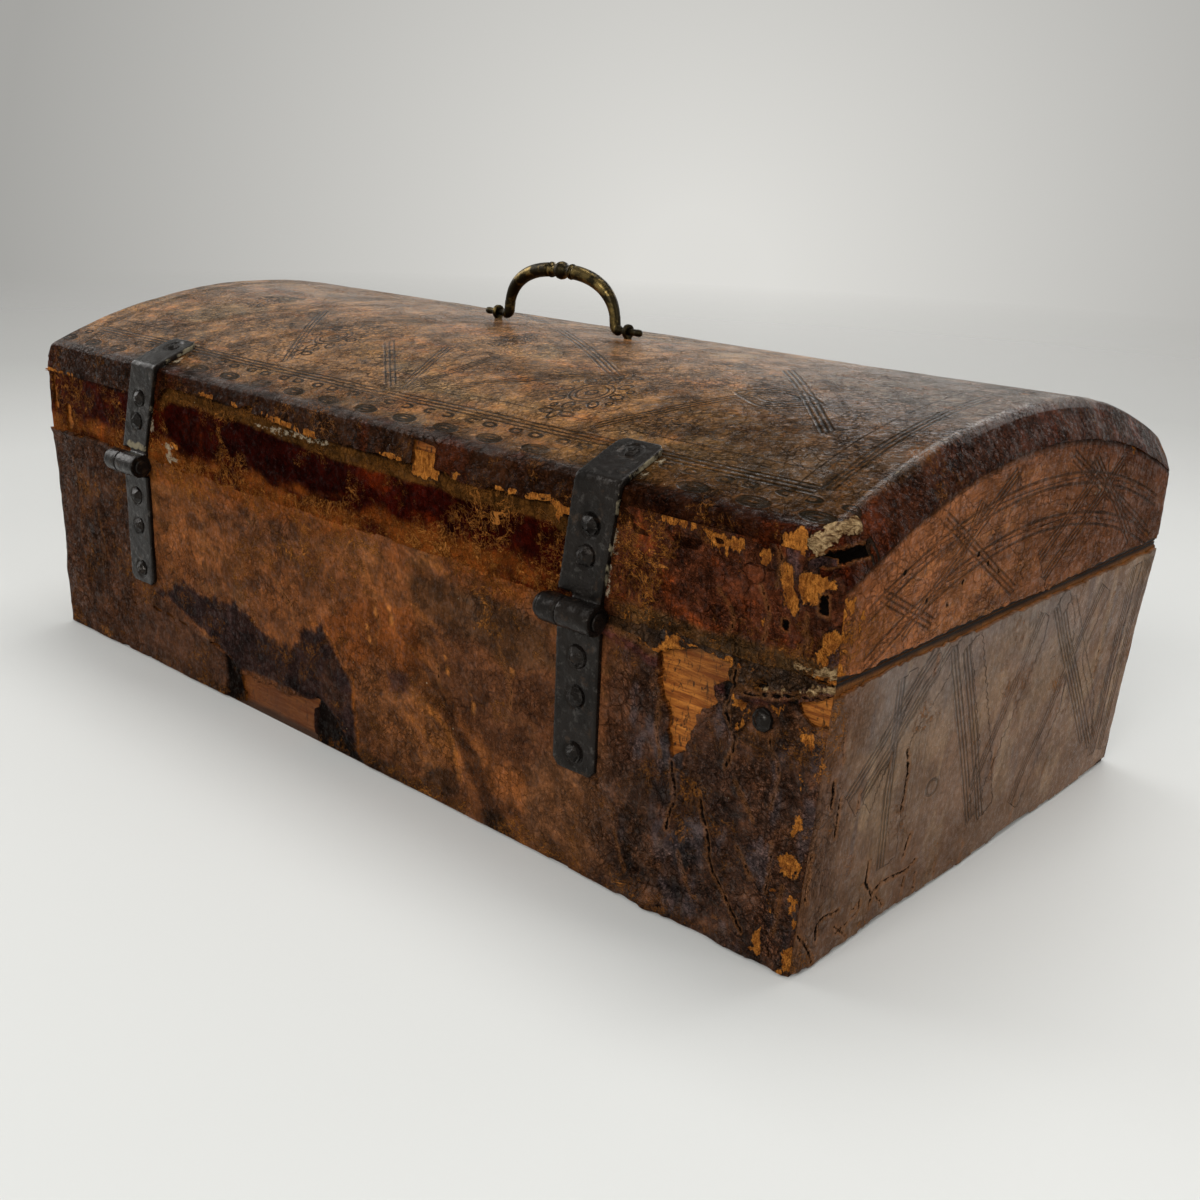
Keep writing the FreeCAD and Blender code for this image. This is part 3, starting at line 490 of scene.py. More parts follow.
def leather_sheet(name, covers, body, across, up, surface, finish, outward):
    # Builds one sheet with its torn edges and its thickness, from a grid of places in
    # millimetres. surface gives the places and finish says what is there.
    u, v = np.meshgrid(across, up, indexing="ij")
    look = finish(u, v, surface(u, v))
    torn = look.torn
    keep = (torn[:-1, :-1] + torn[1:, :-1] + torn[:-1, 1:] + torn[1:, 1:]) < 0
    count = np.zeros(torn.shape, int)
    for di in (0, 1):
        for dj in (0, 1):
            count[di:di + keep.shape[0], dj:dj + keep.shape[1]] += keep
    slope_u, slope_v = np.gradient(torn)
    steep = np.maximum(slope_u ** 2 + slope_v ** 2, 1e-6)
    rim = (count > 0) & (count < 4)
    rim[0, :] = rim[-1, :] = rim[:, 0] = rim[:, -1] = False
    step_u = np.where(rim, np.clip(-torn * slope_u / steep, -0.6, 0.6), 0)
    step_v = np.where(rim, np.clip(-torn * slope_v / steep, -0.6, 0.6), 0)
    u = u + step_u * np.gradient(u, axis=0)
    v = v + step_v * np.gradient(v, axis=1)
    place = surface(u, v)
    normal = np.cross(np.gradient(place, axis=0), np.gradient(place, axis=1))
    normal /= np.maximum(np.linalg.norm(normal, axis=-1, keepdims=True), 1e-9)
    flip = float((normal * np.array(outward)).sum()) < 0
    if flip:
        normal = -normal
    outside = place + normal * look.relief[..., None]
    inside = place - normal * leather_thickness
    number = np.full(torn.shape, -1)
    used = count > 0
    number[used] = np.arange(used.sum())
    total = int(used.sum())
    a, b = number[:-1, :-1][keep], number[1:, :-1][keep]
    c, d = number[1:, 1:][keep], number[:-1, 1:][keep]
    quads = np.stack((a, b, c, d), 1) if not flip else np.stack((a, d, c, b), 1)
    edges = np.concatenate([quads[:, (k, (k + 1) % 4)] for k in range(4)])
    known = set(map(tuple, edges.tolist()))
    border = [pair for pair in edges.tolist() if (pair[1], pair[0]) not in known]
    faces = quads.tolist() + (quads[:, ::-1] + total).tolist()
    faces += [(far, near, near + total, far + total) for near, far in border]
    points = np.concatenate((outside[used], inside[used])) * mm
    mesh = bpy.data.meshes.new(name)
    mesh.from_pydata(points.tolist(), [], faces)
    mesh.validate()
    mesh.polygons.foreach_set("use_smooth", [True] * len(mesh.polygons))
    mesh.set_sharp_from_angle(angle=math.radians(55))
    raw = np.zeros_like(look.colour) + dye("8e5a2c")
    raw *= (0.75 + 0.35 * clouds(u, v, 5, 5, 91))[..., None]
    shown = np.concatenate((look.colour, look.shine[..., None]), -1)
    back = np.concatenate((raw, look.shine[..., None] * 0), -1)
    wear = np.stack((look.crackle, look.flake, look.gloss, look.dust), -1)
    skin = np.stack((look.creased, look.mottled, look.cut), -1)
    drawn = np.stack((look.slit, look.bare, look.cream), -1)
    layers = {
        "hide": np.concatenate((shown[used], back[used])),
        "wear": np.concatenate((wear[used], wear[used] * 0)),
        "skin": np.concatenate((skin[used],) * 2),
        "tooled": np.concatenate((look.lines[used], look.lines[used] * 0 + 9)),
        "drawn": np.concatenate((drawn[used], drawn[used] * 0 + (9, -9, -9))),
        "stamped": np.concatenate((look.stamped[used], look.stamped[used] * 0)),
        "grain": np.concatenate((look.grain()[used],) * 2),
    }
    for key, values in layers.items():
        vector = key not in ("hide", "wear")
        made = mesh.attributes.new(key, "FLOAT_VECTOR" if vector else "FLOAT_COLOR", "POINT")
        made.data.foreach_set("vector" if vector else "color", values.astype(np.float32).ravel())
    piece = put(name, mesh)
    mesh.materials.append(hide)
    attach(piece, body)
    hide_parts(covers)


def make_hide():
    # Waxed calf: a soft sheen, a pebbled grain, fine folds, veins of cracking that bare the tan
    # core, scales that flake down to it, pale dust in the hollows, which along the dome's lip and
    # folds is partly painted glints, and lines pressed in hot
    made, shader = material("old_calf", (0.1, 0.05, 0.03), 0.42, specular=0.22)
    shader.inputs["Specular Tint"].default_value = (1.0, 0.86, 0.76, 1.0)
    g = Graph(made)
    base = g.read("hide", "Color")
    shine = g.read("hide", "Alpha")
    wear = g.node("SeparateColor", {"Color": g.read("wear", "Color")})
    crackle, flake, gloss = wear.outputs[0], wear.outputs[1], wear.outputs[2]
    dust = g.read("wear", "Alpha")
    creased, mottled, cut = g.split(g.read("skin", "Vector"))
    tooled = g.split(g.read("tooled", "Vector"))
    drawn = g.split(g.read("drawn", "Vector"))
    grain = g.read("grain", "Vector")
    where = g.place()

    # Tone: spots, streaks, pebbles and a net of fine wrinkles. The colour follows the heights made below,
    # as painted shade and light: darker between the pebbles, along the net and in the folds, and
    # lighter where the grain swells
    fine = g.noise(1000.0, 3.0, 0.7, where)
    spots = g.noise(130.0, 5.0, 0.62, where, 0.8)
    pebble = g.cells(1.0, g.place((900, 900, 480)))
    folds = 0.0
    swell = 0.0
    for size, width, share in ((1.0, 0.022, 1.0), (2.2, 0.036, 0.9), (4.6, 0.055, 0.7)):
        wave = g.noise(size, 3.0, 0.55, grain, 0.5)
        away = g.apart(wave, 0.5)
        folds = g.most(folds, g.ramp(away, width, width * 0.4, 0.0, share))
        swell = g.sum(swell, g.times(wave, 0.33))
    folds = g.times(folds, g.ramp(g.noise(75.0, 3.0, 0.6, where), 0.38, 0.58, 0.15, 1.0))
    lean = g.times(g.ramp(spots, 0.44, 0.56, -1.0, 1.0), mottled)
    swell_painted_light = g.times(g.ramp(swell, 0.4, 0.6, -1.0, 1.0), g.sum(creased, 0.05))
    bend = g.node("TexNoise", {"Scale": 230.0, "Detail": 4.0, "Vector": where}).outputs["Color"]
    bend = g.vector(bend, (0.0034, 0.0034, 0.0034), "MULTIPLY")
    bent = g.vector(where, bend, "ADD")
    tile = g.node("SeparateColor", {"Color": g.cells(190.0, bent, output="Color")}).outputs[0]
    tile = g.times(g.ramp(tile, 0.0, 1.0, -0.22, 0.22), g.times(mottled, 1.6))
    tone = g.sum(g.sum(1.0, tile), g.sum(g.times(lean, 0.6), g.times(swell_painted_light, 0.28)))
    pebble_shade_and_grain = g.sum(g.ramp(fine, 0.36, 0.64, -0.3, 0.34), g.ramp(pebble, 0.2, 0.62, 0.3, -0.45))
    pebble_shade_and_grain = g.times(pebble_shade_and_grain, g.ramp(mottled, 0.0, 0.4, 0.22, 0.42))
    tone = g.times(tone, g.sum(pebble_shade_and_grain, 1.0))
    net = g.times(g.ramp(g.cells(400.0, bent, "DISTANCE_TO_EDGE"), 0.1, 0.03),
                  g.ramp(g.noise(90.0, 4.0, 0.65, where), 0.42, 0.6, 0.1, 1.0))
    plates = g.times(g.ramp(g.cells(190.0, bent, "DISTANCE_TO_EDGE"), 0.05, 0.015),
                     g.ramp(g.noise(55.0, 4.0, 0.65, where), 0.46, 0.56))
    net = g.times(g.most(net, plates), g.ramp(creased, 0.1, 0.6, 0.15, 1.0))
    tone = g.times(tone, g.less(1.0, g.times(net, 0.5)))
    tone = g.most(g.times(tone, g.less(1.0, g.times(g.times(folds, creased), 0.75))), 0.06)
    warm = g.times(lean, 0.1)
    tones = {"X": g.times(tone, g.sum(1.46, warm)), "Y": g.times(tone, 1.3),
             "Z": g.times(tone, g.less(0.98, warm))}
    colour = g.mix(1.0, base, g.node("CombineXYZ", tones).outputs[0], "MULTIPLY")

    # Veins and small chips where the surface has cracked
    veins = 0.0
    for size, width, share in ((70.0, 0.011, 1.0), (150.0, 0.015, 0.85), (330.0, 0.02, 0.6)):
        away = g.apart(g.noise(size, 5.0, 0.62, where, 1.0), 0.5)
        veins = g.most(veins, g.ramp(away, width, width * 0.3, 0.0, share))
    broken = g.noise(60.0, 5.0, 0.7, where)
    open_here = g.ramp(g.sum(crackle, g.ramp(broken, 0.32, 0.68, -0.75, 0.3)), 0.08, 0.45)
    chips = g.ramp(g.sum(g.noise(480.0, 4.0, 0.65, where), g.times(crackle, 0.12)), 0.74, 0.77)
    cracked = g.times(g.most(veins, chips), open_here)
    colour = g.mix(g.times(cracked, 0.85), colour, core_vein)

    # Scales gone down to the tan core, here and there and inside the drawn outlines
    scale = g.noise(1.0, 6.0, 0.66, g.place((260, 260, 170)), 0.7)
    frayed = g.times(g.less(scale, 0.5), 10.0)
    bared = g.sum(drawn[1], frayed)
    scaled = g.most(g.ramp(g.sum(flake, scale), 1.0, 1.03), g.ramp(bared, 0.0, 0.2))
    ring = g.most(g.ramp(g.sum(flake, scale), 0.93, 0.995), g.ramp(bared, -1.1, -0.1))
    ring = g.less(ring, scaled)
    colour = g.mix(g.times(ring, 0.7), colour, scale_shadow)
    fibres = g.noise(1.0, 5.0, 0.7, g.place((1100, 1100, 420), (0.0, 0.5, 0.3)), 1.0)
    tan = g.mix(g.ramp(fibres, 0.38, 0.6), core_deep, core_pale)
    tan = g.mix(g.ramp(g.noise(210.0, 4.0, 0.6, where), 0.5, 0.62, 0.0, 0.7), tan, core_brown)
    colour = g.mix(scaled, colour, tan)

    # Pale crumpled flesh side, then splits and holes painted black as shade
    crumple = g.noise(1.0, 5.0, 0.65, g.place((380, 380, 1000), (0.0, 0.5, 0.0)), 1.2)
    turned_up = g.ramp(g.sum(drawn[2], g.times(frayed, 0.8)), 0.0, 0.25)
    flesh = g.mix(g.ramp(crumple, 0.4, 0.62), flesh_deep, flesh_pale)
    colour = g.mix(turned_up, colour, flesh)
    jag = g.times(g.less(g.noise(600.0, 4.0, 0.7, where), 0.5), 2.4)
    gap = g.sum(drawn[0], jag)
    gap_shadow = g.ramp(gap, 0.3, -0.05)
    lit_lip = g.less(g.ramp(gap, 1.3, 0.5), gap_shadow)
    colour = g.mix(g.times(lit_lip, 0.3), colour, core_lip)
    colour = g.mix(gap_shadow, colour, gap_shadow_black)

    # Tooling: florets, pointed ovals with leaves, single drawn lines and fillets of three lines
    mark_x, mark_y, kind = g.split(g.read("stamped", "Vector"))
    side_x, side_y = g.size(mark_x), g.size(mark_y)
    reach = g.far(g.node("CombineXYZ", {"X": mark_x, "Y": mark_y}).outputs[0])
    turned = g.sum(g.sum(mark_y, mark_x, "ARCTAN2"), math.pi / 8, "PINGPONG")
    petal_x = g.times(reach, g.sum(turned, 0.0, "COSINE"))
    petal_y = g.times(reach, g.sum(turned, 0.0, "SINE"))
    flower = g.outline(mark_x, mark_y, (0, 0), (2.0, 2.0))
    for x, y, centre, size in ((mark_x, mark_y, (0, 0), (5.4, 5.4)), (mark_x, mark_y, (0, 0), (7.4, 7.4)),
                               (petal_x, petal_y, (11.0, 0), (2.3, 1.7)),
                               (petal_x, petal_y, (12.4, 5.1), (1.1, 1.1)),
                               (mark_x, side_y, (0, 17.4), (1.6, 2.8)),
                               (side_x, side_y, (4.4, 16.4), (2.6, 1.4))):
        flower = g.least(flower, g.outline(x, y, centre, size))
    ovals = g.outline(mark_x, mark_y, (0, 0), (4.6, 1.9))
    ovals = g.least(ovals, g.outline(side_x, mark_y, (6.2, -6.2), (2.4, 1.1)))
    ovals = g.least(ovals, g.outline(mark_x, mark_y, (0, 0), (3.4, 0.8)))
    marked = g.most(g.times(g.ramp(flower, 0.55, 0.25), g.ramp(kind, 0.9, 0.96)),
                    g.times(g.ramp(ovals, 0.55, 0.25), g.ramp(kind, -0.9, -0.96)))
    rimmed = g.most(g.times(g.ramp(flower, 1.1, 0.6), g.ramp(kind, 0.9, 0.96)),
                    g.times(g.ramp(ovals, 1.1, 0.6), g.ramp(kind, -0.9, -0.96)))
    pressed = g.most(g.ramp(g.size(tooled[2]), 0.6, 0.2), marked)
    raised = g.ramp(g.apart(tooled[2], 1.0), 0.6, 0.0)
    raised = g.most(raised, g.less(rimmed, marked))
    for output in (0, 1):
        away = g.size(tooled[output])
        beside = g.apart(away, 1.7)
        nearest = g.least(away, beside)
        pressed = g.most(pressed, g.ramp(nearest, 0.45, 0.12))
        raised = g.most(raised, g.ramp(g.apart(nearest, 0.8), 0.35, 0.0))
    worn = g.times(g.ramp(g.noise(36.0, 4.0, 0.65, where), 0.34, 0.56, 0.55, 1.0), cut)
    pressed = g.times(pressed, worn)
    raised = g.times(raised, worn)
    # Painted highlight: the raised rims beside the tooled lines are painted lighter
    colour = g.mix(g.times(raised, 0.35), colour, g.mix(1.0, colour, (1.7, 1.6, 1.5), "MULTIPLY"))
    colour = g.mix(g.times(pressed, 0.88), colour, tool_black)

    powder = g.noise(520.0, 4.0, 0.75, where)
    dusted = g.ramp(g.sum(dust, powder), 1.0, 1.09)
    specks = g.ramp(g.noise(700.0, 2.0, 0.5, where), 0.785, 0.81)
    colour = g.mix(g.most(g.times(dusted, 0.7), specks), colour, old_dust)
    g.feed(shader.inputs["Base Color"], colour)

    matt = g.most(g.most(scaled, g.most(gap_shadow, turned_up)), g.most(cracked, dusted))
    rough = g.ramp(g.less(fine, gloss), -0.6, 0.7, 0.13, 0.45)
    g.feed(shader.inputs["Roughness"], g.sum(rough, g.times(matt, 0.3)))
    dull = g.most(g.most(g.most(folds, net), pressed), matt)
    dull = g.less(1.0, g.times(dull, 0.9))
    low_glint = g.ramp(shine, 0.1, 0.3, 0.2, 0.75)
    lit = g.ramp(g.noise(430.0, 4.0, 0.65, where), 0.5, 0.6)
    glint = g.sum(low_glint, g.times(lit, g.less(1.7, low_glint)))
    g.feed(shader.inputs["Specular IOR Level"], g.times(g.times(shine, glint), dull))

    # Height, from the finest to the broadest
    depth = g.times(g.less(swell, g.times(folds, 0.3)), g.sum(creased, 0.08))
    normal = g.bump(pebble, 0.00016, -0.7)
    normal = g.bump(g.times(net, -1.0), 0.0005, 0.9, normal)
    normal = g.bump(depth, 0.002, 1.0, normal)
    normal = g.bump(g.times(g.sum(spots, g.times(tile, 0.4)), mottled), 0.0022, 0.8, normal)
    normal = g.bump(g.less(g.times(raised, 0.5), pressed), 0.001, 1.0, normal)
    normal = g.bump(g.sum(g.times(fibres, scaled), g.times(crumple, turned_up)), 0.001, 0.9, normal)
    normal = g.bump(g.times(g.most(g.most(scaled, cracked), gap_shadow), -1.0), 0.0009, 1.0, normal)
    g.feed(shader.inputs["Normal"], normal)
    return made


hide = make_hide()


def half_at(z):
    # Half the length of the box at a height: the base's ends lean in towards the floor
    return half_length - base_end_lean * np.maximum(joint - z, 0) / joint


def along_wall(side):
    # The hinge side and the lock side: u runs with the length and v is the height
    def surface(u, v):
        half = half_at(v)
        place = np.stack((u / half_length * half, side * half_depth + 0 * u, v + 0 * u), -1)
        return eased(place, half, corner_round)
    return surface


def across_end(side):
    # An end of the base: u runs with the depth and v is the height
    def surface(u, v):
        half = half_at(v)
        return eased(np.stack((side * half + 0 * u, u + 0 * v, v + 0 * u), -1), half, corner_round)
    return surface


def under_arch(side):
    # An end of the lid: v goes from 0 at its lower edge to 1 under the shoulder of the dome
    def surface(u, v):
        top = arch_centre + np.sqrt((arch_radius - shoulder_drop) ** 2 - u ** 2)
        z = lid_foot + (top - lid_foot) * v
        return eased(np.stack((side * half_length + 0 * u, u + 0 * v, z), -1), half_length, corner_round)
    return surface


def over_dome(u, v):
    # The dome: u runs with the length and down both shoulders, v runs over the arch and down
    # the turned edges. Both folds are eased.
    def sharp(u, v):
        slope = math.hypot(shoulder_inset, shoulder_drop)
        flat = half_length - shoulder_inset
        down = np.clip((np.abs(u) - flat) / slope, 0, 1)
        below = np.maximum(np.abs(u) - flat - slope, 0)
        x = np.sign(u) * (np.minimum(np.abs(u), flat) + shoulder_inset * down)
        radius = arch_radius - shoulder_drop * down - below
        turn = np.arcsin(half_depth / radius) * np.clip(v / arch_half, -1, 1)
        z = arch_centre + radius * np.cos(turn)
        z = z + np.minimum(turned_edge - 0.2 - z, 0) * np.maximum(np.abs(v) - arch_half, 0) / band
        return np.stack((x, radius * np.sin(turn), z), -1)

    total = 0
    for du in (-lip_round, 0, lip_round):
        for dv in (-lip_round, 0, lip_round):
            total = total + sharp(u + du, v + dv)
    return eased(total / 9, half_length, corner_round)


def fillet(look, family, start, end):
    # A straight run of lines pressed with a hot fillet
    du, dv = end[0] - start[0], end[1] - start[1]
    length = math.hypot(du, dv)
    along = ((look.u - start[0]) * du + (look.v - start[1]) * dv) / length
    aside = ((look.v - start[1]) * du - (look.u - start[0]) * dv) / length
    near = (along > 0) & (along < length) & (np.abs(aside) < np.abs(look.lines[..., family]))
    look.lines[..., family] = np.where(near, aside, look.lines[..., family])


def fillets(look, family, runs):
    for start, end in runs:
        fillet(look, family, start, end)


def stamp(look, centre, size, point=2.0, turn=0.0):
    # A round, oval or pointed mark pressed with a hand tool
    du, dv = look.u - centre[0], look.v - centre[1]
    a = np.abs(du * math.cos(turn) + dv * math.sin(turn)) / size[0]
    b = np.abs(dv * math.cos(turn) - du * math.sin(turn)) / size[1]
    aside = ((a ** point + b ** point) ** (1 / point) - 1) * min(size)
    near = np.abs(aside) < np.abs(look.lines[..., 2])
    look.lines[..., 2] = np.where(near, aside, look.lines[..., 2])


def floret(look, centre, size=1.0):
    # A ringed boss with petals round it and leaves on two sides
    du, dv = (look.u - centre[0]) / size, (look.v - centre[1]) / size
    near = np.hypot(du, dv)[..., None] < 22
    look.stamped = np.where(near, np.stack((du, dv, du * 0 + 1), -1), look.stamped)


def oval_row(look, level, start, pitch):
    # Pointed ovals in a row near both long edges, each with two small leaves
    du = (look.u - start + pitch / 2) % pitch - pitch / 2
    for side in (-1, 1):
        dv = side * look.v - level
        near = ((dv > -8.5) & (dv < 3) & (np.abs(du) < pitch / 2 - 1.2))[..., None]
        look.stamped = np.where(near, np.stack((du, dv, du * 0 - 1), -1), look.stamped)


def torn_line(u, v, seed):
    # How far a torn edge wanders from its line, in millimetres
    return 0.7 * clouds(u, v, 10, 6, seed) + 0.5 * clouds(u, v, 2.4, 2.4, seed + 1, 2)


def under_shoulder(look):
    # The lid's long sides end below the slope at each end of the dome
    look.rip(np.abs(look.u) - half_length + 0.64 * (look.v - 116.8))


def curve(points):
    # A height or other value that follows drawn points
    known = sorted(points)
    return lambda x: np.interp(x, [p[0] for p in known], [p[1] for p in known])


def wrinkled(look, amount, seed):
    look.relief += amount * clouds(look.u, look.v, 16, 3.4, seed, 3)
    look.relief += amount * 1.2 * clouds(look.u, look.v, 46, 30, seed + 1, 2)


back_fold = curve([(-216, 116.0), (-112, 116.4), (-106, 119.4), (-83, 118), (-55, 119), (-20, 119),
                   (20, 120), (45, 122), (74, 123), (108, 123.5), (116, 117), (216, 116.0)])
joint_scar = curve([(-216, 91), (-207, 89), (-199, 86.4), (-188, 82.6), (-179, 80), (-160, 81.6),
                    (-144, 83.2), (-130, 86.4), (-122, 90), (216, 92)])


def top_finish(u, v, place):
    x, y, z = place[..., 0], place[..., 1], place[..., 2]
    far_u, far_v = np.abs(u), np.abs(v)
    from_fold = np.abs(far_u - half_length + 8)
    look = Finish(x, y, "8c6845", (12.0, 3.4))
    look.drop = z
    look.slant = 0.42
    look.weather((
        (0.35, 64, 30, 2, -0.1, 0.9, "60452c"), (0.35, 34, 12, 3, 0.0, 0.8, "92703f"),
        (0.45, 22, 7, 4, 0.15, 0.8, "463020"), (0.4, 18, 4, 6, 0.25, 0.8, "a0622c"),
        (0.35, 44, 26, 7, 0.1, 0.9, "7a7056"), (0.35, 9, 4, 8, 0.25, 0.9, "302217")))
    look.stain(0.85 * rise(-x + 8 * clouds(u, v, 40, 20, 5), 70, 180), "3d2a18")
    look.stain(0.5 * rise(np.abs(y), 84, 104), "3a2415")

    # The lips over the long sides and the shoulders over the ends are darker
    lip = rise(far_v + 1.5 * clouds(u, v, 14, 14, 9), 103, 107)
    look.stain(0.9 * lip, "200a05")
    shoulder = rise(far_u + 1.5 * clouds(u, v, 14, 14, 10), half_length - 9, half_length - 4)
    look.stain(0.8 * shoulder, "36150b")
    look.weather(((0.3, 16, 9, 11, 0.1, 0.8, "5c2611"),), shoulder + lip)

    # Sheen, swell and dust: hands have polished the crest and the edges of the folds
    look.creased[:] = 1.0 + 0.3 * clouds(u, v, 40, 20, 13)
    look.mottled[:] = 0.28
    look.shine[:] = 0.24 + 0.5 * rise(64 - far_v, 0, 60) - 0.18 * rise(-x, 40, 170) * rise(far_v, 0, 50)
    look.shine += 0.5 * rise(1.8 - from_fold, 0, 1.5)
    look.shine += 0.3 * rise(0.9 - np.abs(far_v - 106.8), 0, 0.8) * patchy(u, v, 12, 12, 210, -0.3, 0.4)
    look.shine[far_v > arch_half + 0.6] = 0.03
    look.shine[far_u > half_length - 4] = 0.06
    look.relief += 0.16 * clouds(u, v, 46, 30, 12, 2) + 0.12 * clouds(u, v, 16, 7, 11, 2)
    look.relief += 0.4 * clouds(u, v, 120, 60, 14, 2)
    look.gloss += 0.85 + 0.3 * clouds(u, v, 50, 30, 15) + 0.3 * lip + 0.3 * shoulder
    look.dust += 0.14 + 0.14 * clouds(u, v, 44, 30, 16) - 0.3 * lip
    # Pale dust along the lip and the end folds, partly painted highlights for the glints on those edges
    look.dust += 0.3 * rise(0.8 - np.abs(far_v - 107.6), 0, 0.6) * patchy(u, v, 26, 30, 17, -0.1, 0.5)
    look.dust += 0.3 * rise(0.8 - from_fold, 0, 0.6) * patchy(u, v, 20, 20, 18, -0.2, 0.5)
    for hinge, hinge_x, skew in hinges:
        aside = x - hinge_x - skew
        beside = rise(3.4 - np.abs(aside + 10.2), 0, 3) * rise(y, 86, 90)
        beyond = rise(2 - np.abs(y - 87.6), 0, 1.6) * rise(10 - np.abs(aside), 0, 3)
        look.dust += 0.42 * np.maximum(beside, beyond) * patchy(u, v, 5, 5, 149, -0.6, 0.2)

    # Wear along the folds, down to the tan core
    look.crackle += 0.1 + 0.3 * patchy(u, v, 40, 26, 19, 0.1, 0.9) - 0.1 * shoulder
    look.crackle += 0.1 * rise(far_v, arch_half - 1, arch_half + 3)
    look.flake += 0.24 * patchy(u, v, 22, 9, 20, 0.35, 0.9) * rise(far_v, 60, 108)
    edge = np.where(v > 0, back_fold(x), dome_side_foot)
    hem = rise(edge + 3.6 - z, 0, 2.4) * rise(far_v, arch_half, arch_half + 2)
    look.flake += 0.58 * hem * patchy(u, v, 11, 40, 21, -0.2, 0.4)
    look.flake += 0.2 * shoulder * patchy(u, v, 9, 14, 22, 0.3, 0.9)

    # The hinge side's left corner, where the hide has split and turned up
    at_corner = y > 94
    pale_lip = [(-197, 126), (-199, 130.4), (-205, 134.6), (-211, 136), (-210, 131.4), (-206, 129),
                (-201, 123.6)]
    gap = [(-198, 121.8), (-204, 125.6), (-210, 127), (-210, 124.4), (-203.4, 121.6)]
    bared = [(-189, 127), (-196, 129.5), (-197, 124), (-198, 116), (-193, 116)]
    look.cream = np.where(at_corner, patch(x, z, pale_lip) - 0.4, -9)
    look.slit = np.where(at_corner, -patch(x, z, gap), 9)
    look.bare = np.where(at_corner, patch(x, z, bared), -9)
    curled = 0.8 * rise(look.cream, -1, 1.5) * (0.6 + clouds(u, v, 5, 5, 24))
    look.relief += curled - 1.2 * rise(-look.slit, -0.5, 0.5)

    # Tooling
    for centre, size in (((-81, 64), 1.0), ((62, 60), 1.0), ((-10, 30), 0.6), ((-81, -64), 1.0),
                         ((62, -60), 1.0), ((140, 30), 0.8), ((140, -30), 0.8), ((-140, -42), 0.8)):
        floret(look, centre, size)
    stamp(look, (-139, 42), (15, 9), 1.25, 0.1)
    stamp(look, (-139, 42), (8, 4.5), 1.4, 0.1)
    oval_row(look, 100.4, -71.0, 20.7)
    for side in (-1, 1):
        fillet(look, 0, (-188, side * 90), (188, side * 90))
        fillet(look, 1, (side * 190, -90), (side * 190, 90))
    fillets(look, 0, (((-5, 86), (35, 54)), ((-11, 86), (5, 50)), ((-90, 36), (-30, 78)),
                      ((100, 84), (46, 20)), ((-150, 20), (-100, 84)), ((-5, -86), (35, -54)),
                      ((-90, -36), (-30, -78))))
    fillets(look, 1, (((-22, 50), (-13, 86)), ((100, 36), (60, 84)), ((-9, 5), (-82, 51)),
                      ((-170, 60), (-120, 10)), ((9, 5), (70, 44)), ((-9, -5), (-82, -51)),
                      ((9, -5), (70, -44)), ((150, 80), (90, 10))))

    # The turned edges lie over the other sheets and end raggedly
    flat = 1 - rise(far_u, half_length - 10, half_length - 3)
    fold = rise(far_v, arch_half + 1, arch_half + 8) * flat
    behind = v > 0
    lift = np.where(behind, rise(122 - np.abs(x - 1), 0, 16), 0.1)
    look.relief += fold * (0.1 + 0.95 * lift + 0.25 * lift * clouds(u, v, 12, 12, 25))
    look.relief += 0.2 * rise(far_u, half_length - 6, half_length + 4)
    ragged = 0.9 * clouds(u, v, 9, 9, 26) + 0.5 * clouds(u, v, 2.6, 2.6, 27, 2)
    hung = far_v > arch_half - 2
    look.rip(np.where(hung, edge + ragged * (0.3 + 0.9 * lift) - z, -9))
    look.rip(np.where(far_u < half_length, -9, far_u - half_length - 6.8 + ragged * 0.3))
    hanging = behind & (far_v > arch_half)
    chip = np.maximum(patch(x, z, [(-54, 110), (-53.4, 126.6), (-42.4, 127.6), (-42, 110)]),
                      patch(x, z - ragged, [(48, 110), (50, 124.6), (56, 124.4), (58, 110)]))
    look.rip(np.where(hanging, chip, -9))
    look.rip(blot(u, v, (212, 111), (4.5, 6), 0.4, 29) * 6 - 3.6)
    return look


